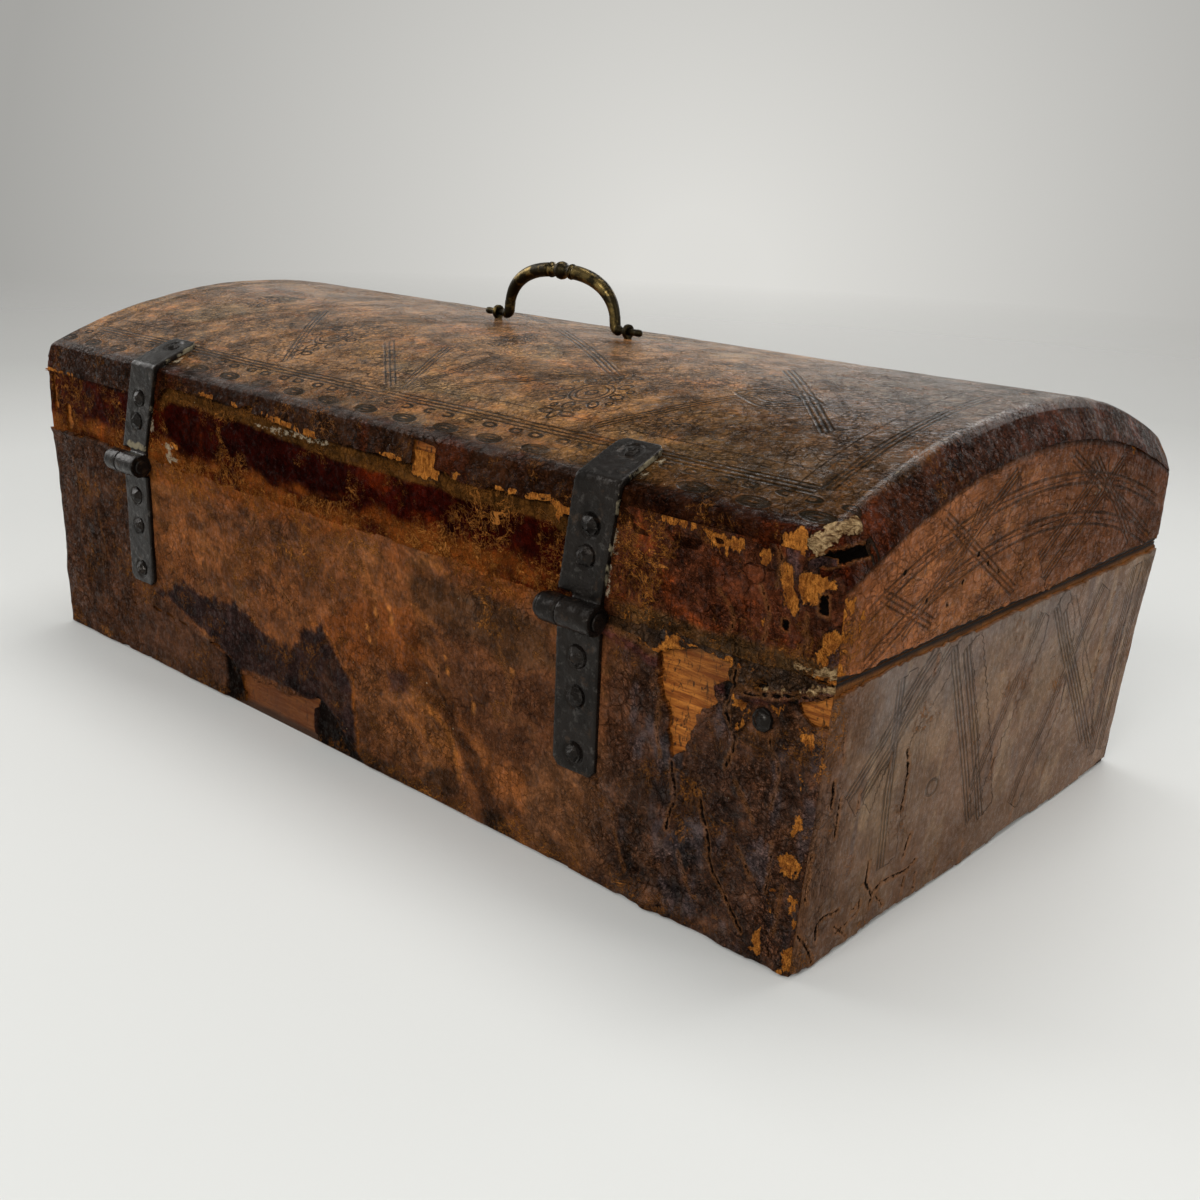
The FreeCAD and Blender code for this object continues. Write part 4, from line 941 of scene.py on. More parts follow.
def back_lid_finish(u, v, place):
    look = Finish(u, v, "2a0703", (4.5, 3.6))
    dark = patch(u, v, [(72, 112), (66, 100), (52, 97), (40, 92), (-5, 97), (-9, 114), (-60, 120),
                        (60, 122)])
    far_dark = patch(u, v, [(112, 112), (108, 97), (92, 95), (84, 104), (86, 118), (108, 122)])
    look.weather((
        (0.5, 30, 14, 31, 0.1, 0.9, "562009"), (0.7, 22, 14, 32, 0.0, 0.8, "190401"),
        (0.5, 8, 8, 33, 0.2, 0.9, "140302")))
    wander = 3 * clouds(u, v, 12, 8, 33)
    darkest = np.maximum(dark, far_dark) + wander
    look.stain(0.85 * rise(darkest, -2, 3), "1b0301")
    strip = rise(v - back_fold(u) + 1.2 * clouds(u, v, 14, 10, 131), -6.5, -5.5)
    strip = strip * rise(119 - np.abs(u), 0, 8)
    look.stain(0.85 * strip, "4a3218")
    # Painted shadow: a near-black line just under the lifted lower edge of the dome's turned band
    look.stain(0.9 * rise(v - back_fold(u), -1.6, -0.6), "0b0403")
    look.stain(0.75 * rise(-u, 112, 126), "522e20")
    look.weather(((0.6, 9, 9, 34, 0.1, 0.8, "6e3315"), (0.5, 7, 10, 35, 0.1, 0.8, "2a130d")),
                 rise(-u, 112, 126))
    # Painted shade: the right end is darker
    look.stain(0.8 * rise(u, 150, 174), "2e0f0a")
    tide = rise(101.5 - v + wander, 0, 5) * rise(u, -122, -116)
    look.stain(0.75 * tide * patchy(u, v, 18, 5, 36, -0.7, 0.3), "6f3c18")

    # Sheen, swell and cracks
    look.creased[:] = 0.45 + 0.5 * rise(-u, 112, 126)
    look.mottled[:] = 0.45
    look.shine[:] = 0.008 + 0.06 * rise(-u, 112, 126)
    wrinkled(look, 0.12, 37)
    look.relief += 0.4 * clouds(u, v, 60, 30, 38, 2) + 0.15 * clouds(u, v, 6, 6, 39, 2)
    look.gloss += 0.7 + 0.3 * clouds(u, v, 30, 20, 40) - 0.5 * rise(-u, 112, 126)
    look.crackle += 0.34 + 0.35 * clouds(u, v, 30, 14, 41) - 0.5 * rise(darkest, 0, 4)
    look.crackle += 0.4 * rise(3 - np.abs(dark + wander * 0.5), 0, 3) + 0.3 * tide
    look.flake += 0.38 * tide * patchy(u, v, 22, 6, 42, -0.4, 0.6)
    look.flake += 0.32 * rise(v, 106, 112) * patchy(u, v, 18, 6, 43, 0.0, 0.8)
    near_hinge = rise(9 - np.abs(u + 108), 0, 5) * rise(v, 98, 112)
    look.flake += 0.34 * near_hinge * patchy(u, v, 5, 12, 44, -0.2, 0.6)

    # The left corner, torn to the core, with holes and splits
    corner = patch(u, v, [(-156, 130), (-163, 119), (-176, 125), (-184, 117), (-194, 113), (-200, 90),
                          (-212, 88), (-212, 130)])
    corner_share = rise(corner + 3.5 * clouds(u, v, 8, 8, 45), -3, 6)
    look.flake += 0.16 * corner_share
    look.flakes(((-171, 119, 3, 3), (-178, 116, 2.5, 3), (-185, 120, 3, 3), (-186, 102, 1.2, 2)), 0.5, 144)
    look.scuff(([(-146, 121), (-150, 125), (-155.5, 124), (-162, 126), (-162, 122.6), (-154, 122.4)],
                [(-164, 124), (-172, 122), (-178, 124), (-177, 120), (-168, 118.6)],
                [(-190, 119), (-194, 120.4), (-194.6, 114), (-197, 110), (-195.4, 106.8), (-192.4, 110)],
                [(-196.6, 119.4), (-203, 119.2), (-208.4, 117.4), (-204, 115), (-201.4, 111),
                 (-197, 110.4)], [(-208, 106), (-209.8, 103), (-208, 98.4), (-205.5, 95), (-202.2, 94.3),
                                  (-202.6, 98), (-204.8, 102)]))
    look.hollow([(-203.2, 114), (-205.4, 114.4), (-205.4, 109), (-203, 109.2)])
    look.hollow([(-192, 104), (-193.6, 104.6), (-193.4, 101.8), (-191.8, 102)])
    look.cream = patch(u, v, [(-194, 93), (-200, 94.6), (-209, 96), (-211, 92), (-194, 91.6)]) - 0.9
    look.bare = np.maximum(look.bare, patch(u, v, [(-54.4, 116), (-54, 129), (-42, 129), (-41.6, 116)])
                           + 0.4)
    look.cracks(([(-170, 108), (-176, 101), (-175, 96)], [(-184, 112), (-188, 104), (-186, 97)],
                 [(-186, 127), (-190, 121), (-189, 113)], [(-199, 108), (-200, 100), (-197, 96)]), -0.1)
    ridges = rise(0.22 - np.abs(clouds(u + 0.4 * v, v, 12, 22, 173, 3)), 0, 0.22)
    look.relief += 0.7 * corner_share * ridges
    look.stain(0.5 * corner_share, "3a2117")
    # The bluish grey spots are painted highlights for the gloss; the dark ones are stains
    look.weather(((0.6, 7, 9, 147, 0.0, 0.8, "544650"), (0.6, 5, 8, 148, 0.1, 0.8, "120c0a")), corner_share)

    # Along the joint, and dust beside the straps
    look.stain(0.75 * rise(97.0 - v + wander * 0.4, 0, 3) * rise(-u, 128, 140), "4a3a26")
    look.flake += 0.4 * rise(95.4 - v + wander * 0.2, 0, 2) * rise(-u, 128, 134)
    look.flake += 0.3 * blot(u, v, (108, 96), (10, 7), 0.6, 46)
    look.dust += 0.12 + 0.5 * blot(u, v, (109, 95), (4.5, 4), 0.9, 47)
    look.dust += 0.4 * blot(u, v, (28, 117.5), (24, 2.5), 0.6, 48)
    for hinge, hinge_x, skew in hinges:
        strap_edge = hinge_x - 8.8 + skew * (v - strap_foot) / strap_rise
        beside = rise(u - strap_edge, -4.5, -0.5) * (u < strap_edge + 3) * rise(v, 92, 96)
        look.dust += 0.46 * beside * patchy(u, v, 4, 7, 49, -0.6, 0.4)

    # Torn edges
    ragged = torn_line(u, v, 50)
    look.rip(lid_foot - 0.9 + 0.8 * ragged - v + 1.0 * rise(-u, 185, 206))
    look.rip(blot(u, v, (203, 108), (2.6, 9), 0.5, 52) * 6 - 3.6)
    look.rip(blot(u, v, (192, 97), (3, 7), 0.5, 53) * 6 - 3.6)
    look.relief += 0.7 * rise(corner_share, 0.4, 1) * clouds(u, v, 7, 7, 54, 3)
    look.relief -= 0.35 * rise(v, 113, 117)
    under_shoulder(look)
    return look


def back_base_finish(u, v, place):
    look = Finish(u, v, "5b3a28", (4.6, 4.4))
    look.weather((
        (0.4, 48, 26, 51, -0.1, 0.8, "6c4429"), (0.4, 34, 22, 52, 0.0, 0.8, "422b1d"),
        (0.35, 12, 7, 55, 0.2, 0.8, "735034"), (0.45, 10, 7, 56, 0.3, 0.9, "2c1b13")))
    for centre, size in (((76, 67), (30, 14)), ((-7, 74), (34, 9)), ((-35, 63), (26, 12)),
                         ((23, 55), (34, 14)), ((-45, 44), (18, 12)), ((-70, 26), (26, 12)),
                         ((-98, 22), (24, 10)), ((104, 60), (18, 18)), ((40, 34), (14, 9)),
                         ((-20, 30), (20, 12))):
        look.stain(0.35 * blot(u, v, centre, size, 0.9, 53, 0.1), "76492b")
    for centre, size in (((-170, 25), (26, 18)), ((-149, 52), (13, 18)), ((-180, 46), (18, 13)),
                         ((-128, 14), (14, 6))):
        look.stain(0.65 * blot(u, v, centre, size, 1.0, 54, 0.12), "22130c")
    wander = 4.5 * clouds(u, v, 12, 9, 55) + 1.5 * clouds(u, v, 3, 3, 57, 2)
    fray = 1.6 * clouds(u, v, 9, 7, 156, 4)
    drip = 2.4 * clouds(u, v, 3.4, 15, 158, 3)

    # Where stains and rubbed places lie: softness, share, colour and outline
    zones = ((3.0, 0.7, "583622", [(18, 72), (-9, 79), (-13, 66), (7, 56), (23, 54)]),
             (2.4, 0.75, "3d2c22", [(-40, 82), (-62, 84), (-78, 82), (-104, 80), (-112, 66), (-88, 60),
                                    (-75, 65), (-56, 64), (-42, 71)]),
             (3.0, 0.7, "482f24", [(-45, 68), (-72, 63), (-79, 57), (-112, 64), (-116, 40), (-104, 27),
                                   (-87, 26), (-69, 36), (-56, 47)]),
             (3.0, 0.75, "593e2f", [(-100, 28), (-122, 50), (-150, 46), (-158, 10), (-132, 1),
                                    (-100, 0)]),
             (1.2, 0.8, "60361b", [(11, 51), (-13, 65), (-40, 69), (-50, 50), (-40, 44), (-20, 45),
                                   (-6, 35), (1, 42)]),
             (1.0, 0.6, "62402a", [(-12, 31), (-42, 38), (-56, 33), (-66, 26), (-63, 15), (-56, 12),
                                   (-38, 8), (-19, 13)]),
             (1.0, 0.85, "302119", [(-3, 11), (-19, 7), (-40, 3), (-54, 13), (-66, 17), (-66, 8),
                                    (-45, -5), (-3, -5)]),
             (1.2, 0.75, "301f17", [(-44, 56), (-52, 50), (-64, 34), (-75, 26), (-84, 14), (-99, -4),
                                    (-88, -5), (-74, 14), (-64, 27), (-48, 47)]),
             (0.8, 0.7, "3a2728", [(-28, 42), (-40, 43), (-41, 36), (-28, 34)]),
             (1.2, 0.8, "1c1512", [(-78, 6), (-90, 8), (-97, 2), (-97, -5), (-82, -5)]),
             (0.6, 0.8, "3c2a24", [(141, 29), (128, 32), (112, 29), (91, 24), (72, 17), (74, -3),
                                   (148, -3)]))
    for soft, share, code, points in zones:
        look.stain(share * rise(patch(u, v, points) + fray, -soft, soft), code)

    # Water has run down from the joint and dried in the middle of the foot as a dark patch
    aslant, down = 0.37 * u - 0.93 * v, 0.93 * u + 0.37 * v
    streams = clouds(aslant, down, 5, 46, 163, 3) * rise(24 - np.abs(u + 52), 0, 20)
    look.stain(0.5 * rise(streams, 0.15, 0.5), "3d2616")
    look.stain(0.4 * rise(-streams, 0.2, 0.5), "82532c")
    runnel = line_gap(u, v, [(-52, 34), (-60, 30), (-64, 24), (-67, 14)])
    look.stain(0.7 * rise(1.6 - runnel + fray, -1, 1.4), "83532a")
    damp = patch(u, v, [(128, 33), (107, 43), (94, 40), (78, 42), (67, 42), (58, 40), (46, 35), (33, 33),
                        (26, 39), (21, 46), (11, 47), (3, 42), (1, 36), (-7, 32), (-6, 23), (-9, 13),
                        (-10, -5), (17, -5), (18, 17), (47, 17), (70, 15), (73, 19), (91, 25), (112, 30)])
    look.stain(0.75 * rise(1.1 - np.abs(damp + fray * 0.4 + 1.1), 0, 0.9) * rise(24 - u, 0, 10), "7d4a20")
    stained = rise(damp + fray * 0.4 + drip * rise(v, 26, 34), -0.5, 0.7)
    look.stain(0.93 * stained, "1f161a")
    look.weather(((0.5, 4, 22, 157, 0.1, 0.8, "35282c"), (0.5, 9, 6, 158, 0.2, 0.9, "0e0909"),
                  (0.5, 20, 8, 164, 0.1, 0.8, "3a261c")), stained)
    for at_u, at_v, reach in ((-18, 50, 0.5), (-22, 58, 0.5), (-60, 50, 0.35), (-74, 40, 0.4),
                              (-92, 56, 0.35), (-30, 60, 0.4)):
        scratch = [(at_u, at_v), (at_u + 1.5, at_v + 6)]
        bright = rise(reach - line_gap(u + 0.8 * clouds(u, v, 3, 5, 165), v, scratch), -0.3, 0.3)
        look.stain(0.8 * bright, "b07440")

    # The right end is painted darker as shade, and the left one is greyish
    look.stain(0.8 * rise(u + wander, 136, 150), "37231a")
    look.weather(((0.6, 16, 24, 58, -0.1, 0.8, "150c09"), (0.5, 12, 12, 59, 0.2, 0.8, "4a2e20")),
                 rise(u, 136, 150))
    look.stain(0.6 * rise(-u + wander, 126, 142), "3e2a24")
    # Among these blotches the bluish grey ones are painted highlights for the gloss
    look.weather(((0.7, 13, 26, 60, -0.1, 0.8, "17110f"), (0.6, 16, 12, 61, 0.1, 0.8, "5e4030"),
                  (0.6, 6, 18, 161, 0.0, 0.7, "4f4853"), (0.6, 5, 14, 162, 0.1, 0.8, "0f0c0c")),
                 rise(-u, 130, 150))
    look.stain(0.6 * rise(10 - v, 0, 8) * patchy(u, v, 22, 8, 62, -0.4, 0.5), "1c110b")

    # Along the joint the hide has rubbed through, and left of the left hinge it has parted
    tide = rise(v + wander * 0.5, 80, 86) * rise(u, -120, -112) * rise(140 - u, 0, 10)
    look.stain(0.7 * tide * patchy(u, v, 20, 6, 63, -0.6, 0.4), "7a431a")
    scar = v - joint_scar(u) + 0.8 * clouds(u, v, 9, 9, 64)
    torn_zone = rise(scar, -0.4, 0.8)
    right_side = rise(-u, 112, 118)
    look.stain(0.85 * rise(scar, -4.5, -2.5) * (1 - torn_zone) * right_side, "4c2a2c")
    look.stain(0.9 * torn_zone * right_side, "33251a")

    # Sheen, swell and ridges
    look.creased[:] = 0.4 + 0.7 * rise(-u, 120, 150) + 0.3 * rise(u, 138, 160)
    look.creased += 0.3 * clouds(u, v, 40, 30, 66)
    look.mottled[:] = 0.4
    look.shine[:] = 0.05 + 0.14 * rise(-u, 120, 150)
    wrinkled(look, 0.12, 65)
    look.relief += 0.5 * clouds(u, v, 70, 40, 67, 2) + 0.14 * clouds(u, v, 6, 6, 68, 2)
    parted = torn_zone * (0.35 * clouds(u, v, 6, 3, 69, 3) - 0.35)
    look.relief += 0.7 * rise(scar, -4, -1) * (1 - torn_zone) + parted
    look.relief += rise(u, 150, 190) * (0.9 * clouds(u, v, 26, 18, 70, 2) + 0.4)
    look.relief += 1.0 * rise(u, 150, 200) * rise(22 - v, 0, 22)
    near = rise(-u, 126, 150)
    look.relief += near * (0.45 * clouds(u, v, 9, 16, 71, 3) + 0.7
                           * clouds(u + 0.25 * v, v, 12, 60, 171, 2))
    ridges = rise(0.2 - np.abs(clouds(u + 0.35 * v, v, 13, 44, 172, 3)), 0, 0.2)
    look.relief += 0.9 * near * ridges * patchy(u, v, 20, 20, 174, -0.4, 0.3)
    look.gloss += 0.05 + 0.35 * clouds(u, v, 40, 26, 72) + 0.4 * rise(u, 138, 160) + 0.25 * near
    look.crackle += 0.16 + 0.3 * clouds(u, v, 36, 20, 73) + 0.4 * tide + 0.25 * rise(10 - v, 0, 8)
    look.dust += 0.16 + 0.14 * clouds(u, v, 30, 22, 74)

    # Torn places: a hole beside the left hinge, flaked edges, and the ring round the odd nail
    bare = [(-150, 84), (-157, 86), (-165, 88), (-176, 87), (-177, 82), (-171, 80), (-173, 74),
            (-167, 68), (-165, 58), (-160, 54), (-157, 63), (-154, 72)]
    ragged = 1.3 * clouds(u, v, 8, 8, 75) + 0.8 * clouds(u, v, 2.4, 2.4, 76, 2)
    hole = patch(u, v, bare)
    scaly = 0.45 * torn_zone * patchy(u, v, 12, 3, 77, -0.3, 0.5)
    look.flake += 0.3 * rise(hole + ragged * 2, -3, 0) + scaly
    low_wear = 0.3 * rise(9 - v, 0, 8) * rise(u, -60, -20)
    look.flake += 0.2 * blot(u, v, (-203, 48), (8, 36), 0.8, 79) + low_wear
    look.scuff(([(-200, 75.6), (-205, 76), (-206.6, 72), (-201, 71)],
                [(-205, 51.6), (-206.6, 48), (-204.4, 44), (-202.8, 45.4)],
                [(-201, 36.4), (-204.7, 39.4), (-207.8, 35), (-205.6, 31), (-202, 29.8)],
                [(-195, 4), (-197, 12), (-199, 3)], [(-206, 26), (-209, 25), (-209, 17), (-206, 19)],
                [(-180, 79), (-184, 80), (-184, 76), (-181, 75)],
                [(-190, 80), (-195, 80.6), (-194, 78), (-190, 78.6)],
                [(-203, 62), (-204.6, 64), (-204.4, 58)],
                [(-181.6, 70), (-184, 69.4), (-185, 76), (-182.6, 77.6)],
                [(-199, 24), (-200.6, 26), (-200.4, 19)], [(-207, 9), (-210, 10), (-210, 2), (-206, 1)]))
    look.cream = patch(u, v, [(-183, 82.6), (-196, 86.6), (-206, 90.4), (-212, 92.5), (-212, 88.6),
                              (-200, 84.4), (-190, 82)]) - 1.0
    look.flake += 0.3 * tide * patchy(u, v, 20, 5, 81, -0.2, 0.7)
    ringed = np.hypot((u - corner_nail_x) / 8.5, (v - corner_nail_z) / 6.5) + 0.12 * clouds(u, v, 5, 5, 82)
    look.relief += 1.1 * rise(0.35 - np.abs(ringed - 1.15), 0, 0.3) - 0.9 * rise(0.95 - ringed, 0, 0.2)
    look.stain(0.8 * rise(0.4 - np.abs(ringed - 1.15), 0, 0.2), "2c1c12")
    look.rip(hole + ragged)

    # A gouge in the foot, with a deep hole at its right end painted black as shade and a black stain at its
    # left end, pits along the joint painted black as shade, and the lifted lower corner
    gouge = patch(u, v, [(66, 13), (50, 15), (34, 14), (14, 18), (18, 8), (13, -5), (64, -5)]) + ragged
    look.rip(gouge)
    # Painted shade in the deep hole at the gouge's right end; a black stain at its left end
    for code, points in (("050302", [(77, 20), (67, 16), (64, -5), (78, -5)]),
                         ("0b0706", [(15, 19), (4, 14), (-13, 2), (-16, -5), (17, -5)])):
        hole_shade_and_stain = rise(patch(u, v, points) + fray * 0.6, -0.6, 0.8)
        look.stain(0.95 * hole_shade_and_stain, code)
        look.relief -= 0.7 * hole_shade_and_stain
    # Painted shade: each pit is painted black as a hole in shadow
    for at in ((-176, 79), (-198, 84), (-187, 83)):
        pit_shade = blot(u, v, at, (1.8, 2.6), 0.6, 182, 0.3)
        look.stain(pit_shade, "050302")
        look.relief -= 1.0 * pit_shade
    look.rip(v - base_top - 0.6 + ragged * 0.6 + 1.0 * rise(-u, 196, 206))
    look.rip(patch(u, v, [(-199, 83), (-204, 85), (-214, 89), (-213, 80), (-203, 77.5)]) + ragged * 0.6)
    split = [(149, 31), (147, 24), (128, 26), (110, 25), (75, 21), (69, 16)]
    crack = line_gap(u, v + 0.8 * clouds(u, v, 8, 8, 83), split)
    look.rip(np.where(crack < 3, 0.45 + 0.3 * clouds(u, v, 5, 5, 84) - crack, -9))
    look.relief += 0.6 * rise(5 - crack, 0, 4)

    # Cracks, from the widest to hairlines
    look.cracks(([(-170, 85), (-169.6, 80), (-170.4, 76)],
                 [(-171, 44), (-177, 27), (-184, 17), (-191, 8)], [(-159, 52), (-162, 41), (-160, 30)],
                 [(-177, 74), (-180, 66), (-179, 57)], [(-178, 82), (-186, 81.4), (-196, 84), (-212, 88)],
                 [(-178, 86), (-178, 78), (-176, 74)]), 0.2)
    look.cracks(([(190, 80), (186, 60), (191, 44)], [(-120, 14), (-126, 7)], [(-55, 52), (-57, 44)],
                 [(-183, 54), (-190, 44)], [(-198, 40), (-197, 24)], [(-140, 22), (-146, 10)],
                 [(172, 60), (168, 40)], [(-203, 28), (-202, 12)], [(-192, 70), (-196, 60), (-195, 50)],
                 [(-166, 24), (-172, 12)], [(-154, 70), (-152, 60), (-155, 52)],
                 [(-150, 83), (-140, 85.4), (-130, 86)], [(-186, 34), (-192, 26)],
                 [(40, 60), (30, 52), (28, 44)], [(96, 80), (88, 70), (90, 60)],
                 [(-20, 70), (-24, 58), (-20, 48)], [(-86, 66), (-92, 52), (-90, 40)]), -0.1)
    low_edge = foot - 0.4 + 1.4 * patchy(u, v, 30, 30, 87, 0.1, 0.9) + 0.5 * ragged
    look.rip(low_edge - v)
    return look


def lid_end_finish(u, v, place):
    y, z = place[..., 1], place[..., 2]
    seen = place[0, 0, 0] < 0
    seed = 91 if seen else 111
    arch_top = arch_centre + np.sqrt((arch_radius - shoulder_drop) ** 2 - y ** 2)
    look = Finish(y, z, "80553d", (16.0, 3.0))
    look.v = z + (crest - shoulder_drop - arch_top) * v
    around = 252 - np.hypot(y, z - arch_centre)
    look.weather((
        (0.4, 44, 12, seed, -0.1, 0.8, "5c3a24"), (0.4, 30, 5, seed + 1, 0.0, 0.8, "8c6140"),
        (0.4, 20, 7, seed + 2, 0.2, 0.9, "3c2417"), (0.35, 22, 3, seed + 3, 0.2, 0.9, "936a4a")))
    look.stain(0.75 * rise(-y, -50, 70), "482816")
    look.stain(0.6 * rise(14 - around, 0, 12) * patchy(y, z, 40, 12, seed + 4, -0.8, 0.2), "43200f")
    look.stain(0.6 * rise(y, 80, 104), "5e3116")
    look.creased[:] = 0.5
    look.mottled[:] = 0.15
    look.cut[:] = 0.75
    look.shine[:] = 0.07
    wrinkled(look, 0.1, seed + 5)
    look.relief += 0.4 * clouds(y, z, 50, 26, seed + 6, 2)
    look.stain(0.4 * rise(y, 20, 80), "966041")
    look.gloss += 0.25 + 0.3 * clouds(y, z, 30, 20, seed + 7)
    look.crackle += 0.02 + 0.3 * patchy(y, z, 24, 12, seed + 8, 0.1, 0.9) + 0.35 * rise(y, 94, 106)
    look.dust += 0.2 + 0.2 * clouds(y, z, 40, 8, seed + 9)
    look.flake += 0.5 * blot(y, z, (106, 108), (7, 20), 0.7, seed + 10)
    look.flake += 0.3 * rise(96 - z, 0, 3) * patchy(y, z, 16, 4, seed + 11, 0.0, 0.8)
    look.flake += 0.5 * (blot(y, z, (-57, 139), (3, 5), 0.7, seed)
                         + blot(y, z, (-68, 131), (2.4, 4), 0.7, seed + 1))

    # Tooling: lines that follow the arch, and crossed fillets. Wormholes pierce the near end, drawn as
    # holes painted black as shade.
    for depth in (14, 17.5, 27, 31):
        near = np.abs(around - depth) < np.abs(look.lines[..., 2])
        look.lines[..., 2] = np.where(near & (np.abs(y) < 96), around - depth, look.lines[..., 2])
    bowed, look.v = look.v, z
    fillets(look, 0, (((18, 135), (77, 97)), ((38, 129), (48, 114)), ((-60, 128), (-10, 96)),
                      ((-18, 135), (-90, 98))))
    fillets(look, 1, (((-41, 127), (-5, 103)), ((60, 128), (10, 96)), ((-77, 97), (-36, 132)),
                      ((90, 112), (60, 97))))
    look.v = bowed
    for step in range(5):
        look.stain(0.8 * rise(0.7 - np.hypot((y + 43.5) * 0.25, z - 112 + 1.9 * step), 0, 0.5), "20110b")
    if seen:
        for at in ((79, 116), (37, 113), (30, 109), (65, 105), (22, 105), (-20, 118), (52, 101), (44, 106)):
            look.slit = np.minimum(look.slit, np.hypot(y - at[0], z - at[1]) - 0.7)

    # Torn lower edge, and the shade under the dome's turned edge
    ragged = torn_line(y, z, seed + 12)
    look.rip(lid_foot + 2.2 + 0.9 * ragged - z + 1.2 * clouds(y, z * 0, 50, 50, seed + 18, 2))
    look.rip(patch(y, z, [(101, 126), (104, 119), (109, 114), (112, 130)]) + ragged * 1.2)
    look.relief -= 0.4 * rise(4.4 - around, 0, 1.4)
    look.stain(0.85 * rise(5.4 - around, 0, 1.6), "120804")
    return look


def base_end_finish(u, v, place):
    y, z = u, v
    seen = place[0, 0, 0] < 0
    seed = 131 if seen else 151
    look = Finish(y, z, "67544d", (3.6, 18.0))
    look.weather((
        (0.4, 60, 44, seed, -0.1, 0.8, "54463f"), (0.35, 26, 34, seed + 1, 0.0, 0.8, "7b6a5d"),
        (0.45, 5, 40, seed + 2, 0.3, 0.9, "45414a"), (0.4, 6, 26, seed + 3, 0.2, 0.9, "857468"),
        (0.3, 14, 10, seed + 4, 0.2, 0.9, "453a38")))
    look.stain(0.5 * rise(z, 50, 84) * patchy(y, z, 30, 20, seed + 17, -0.4, 0.5), "63616a")
    look.stain(0.6 * rise(y, 80, 104), "54392c")
    look.stain(0.6 * rise(40 - z, 0, 30) * rise(y, -60, 60), "452f22")
    look.creased[:] = 0.12 + 0.4 * rise(y, 84, 104)
    look.mottled[:] = 0.1
    look.cut[:] = 0.55
    look.shine[:] = 0.12
    wrinkled(look, 0.1, seed + 5)
    look.relief += 0.5 * clouds(y, z, 60, 40, seed + 6, 2)
    look.gloss += 0.05 + 0.3 * clouds(y, z, 30, 24, seed + 7)
    look.crackle += 0.3 * patchy(y, z, 20, 16, seed + 8, 0.2, 0.9) + 0.3 * rise(y, 94, 106)
    look.dust += 0.2 + 0.16 * clouds(y, z, 14, 40, seed + 9)
    look.flake += 0.3 * blot(y, z, (106.5, 44), (4, 40), 0.9, seed + 10)
    look.flake += 0.25 * rise(5 - z, 0, 4) * patchy(y, z, 14, 4, seed + 11, 0.0, 0.8)

    # Tooling and cracks
    fillets(look, 0, (((45, 87), (84, 50)), ((36, 84), (2, 14)), ((-30, 80), (-84, 14)),
                      ((-98, 86), (-96, 8)), ((-86, 86), (-87, 8)), ((72, 84), (66, 20))))
    fillets(look, 1, (((53, 88), (92, 52)), ((44, 86), (10, 16)), ((-14, 84), (14, 28)),
                      ((-23, 84), (-76, 18)), ((-60, 84), (-20, 12))))
    stamp(look, (41, 39), (3.2, 2.6))
    look.cracks(([(61, 58), (58.4, 50), (58, 37)],
                 [(44, 15), (48, 13), (63.6, 14.7), (69.2, 13.5), (73.8, 18.8), (73.7, 25.6)],
                 [(69.2, 13.5), (68.1, 7.8)], [(50.2, 26.2), (52.3, 18.2)], [(100.8, 61.2), (100, 52.4)],
                 [(95.8, 54), (95, 42)], [(87.7, 15.2), (95.8, 16.1), (98.2, 14.6), (96.6, 8.9)],
                 [(106, 14), (99, 6), (97, 2)]), 0.22)
    look.cracks(([(85, 53), (85.6, 47)], [(70.7, 60), (71.3, 56)],
                 [(80, 11), (74.8, 13.2), (75.5, 9), (86.9, 7.2)], [(49.1, 10.7), (48.3, 4)],
                 [(41.8, 9.6), (41.1, 3)], [(105, 40), (106, 31), (105.6, 25)], [(30, 11), (29, 3)],
                 [(12, 9), (11.4, 2)], [(66, 12), (60, 5)], [(-24, 12), (-23, 3)], [(99, 74), (98, 66)],
                 [(53, 86), (53.4, 80)], [(2, 40), (1, 30)], [(-70, 60), (-71, 46)], [(88, 10), (80, 3)]),
                0.0)

    # Torn edges
    ragged = torn_line(y, z, seed + 14)
    look.rip(z - base_top + 2.5 + 0.9 * ragged + 1.4 * rise(y, 60, 106))
    low_edge = foot + 0.5 + 1.0 * patchy(y, z, 24, 24, seed + 16, 0.0, 0.9) + 0.8 * ragged
    look.rip(low_edge - z)
    return look


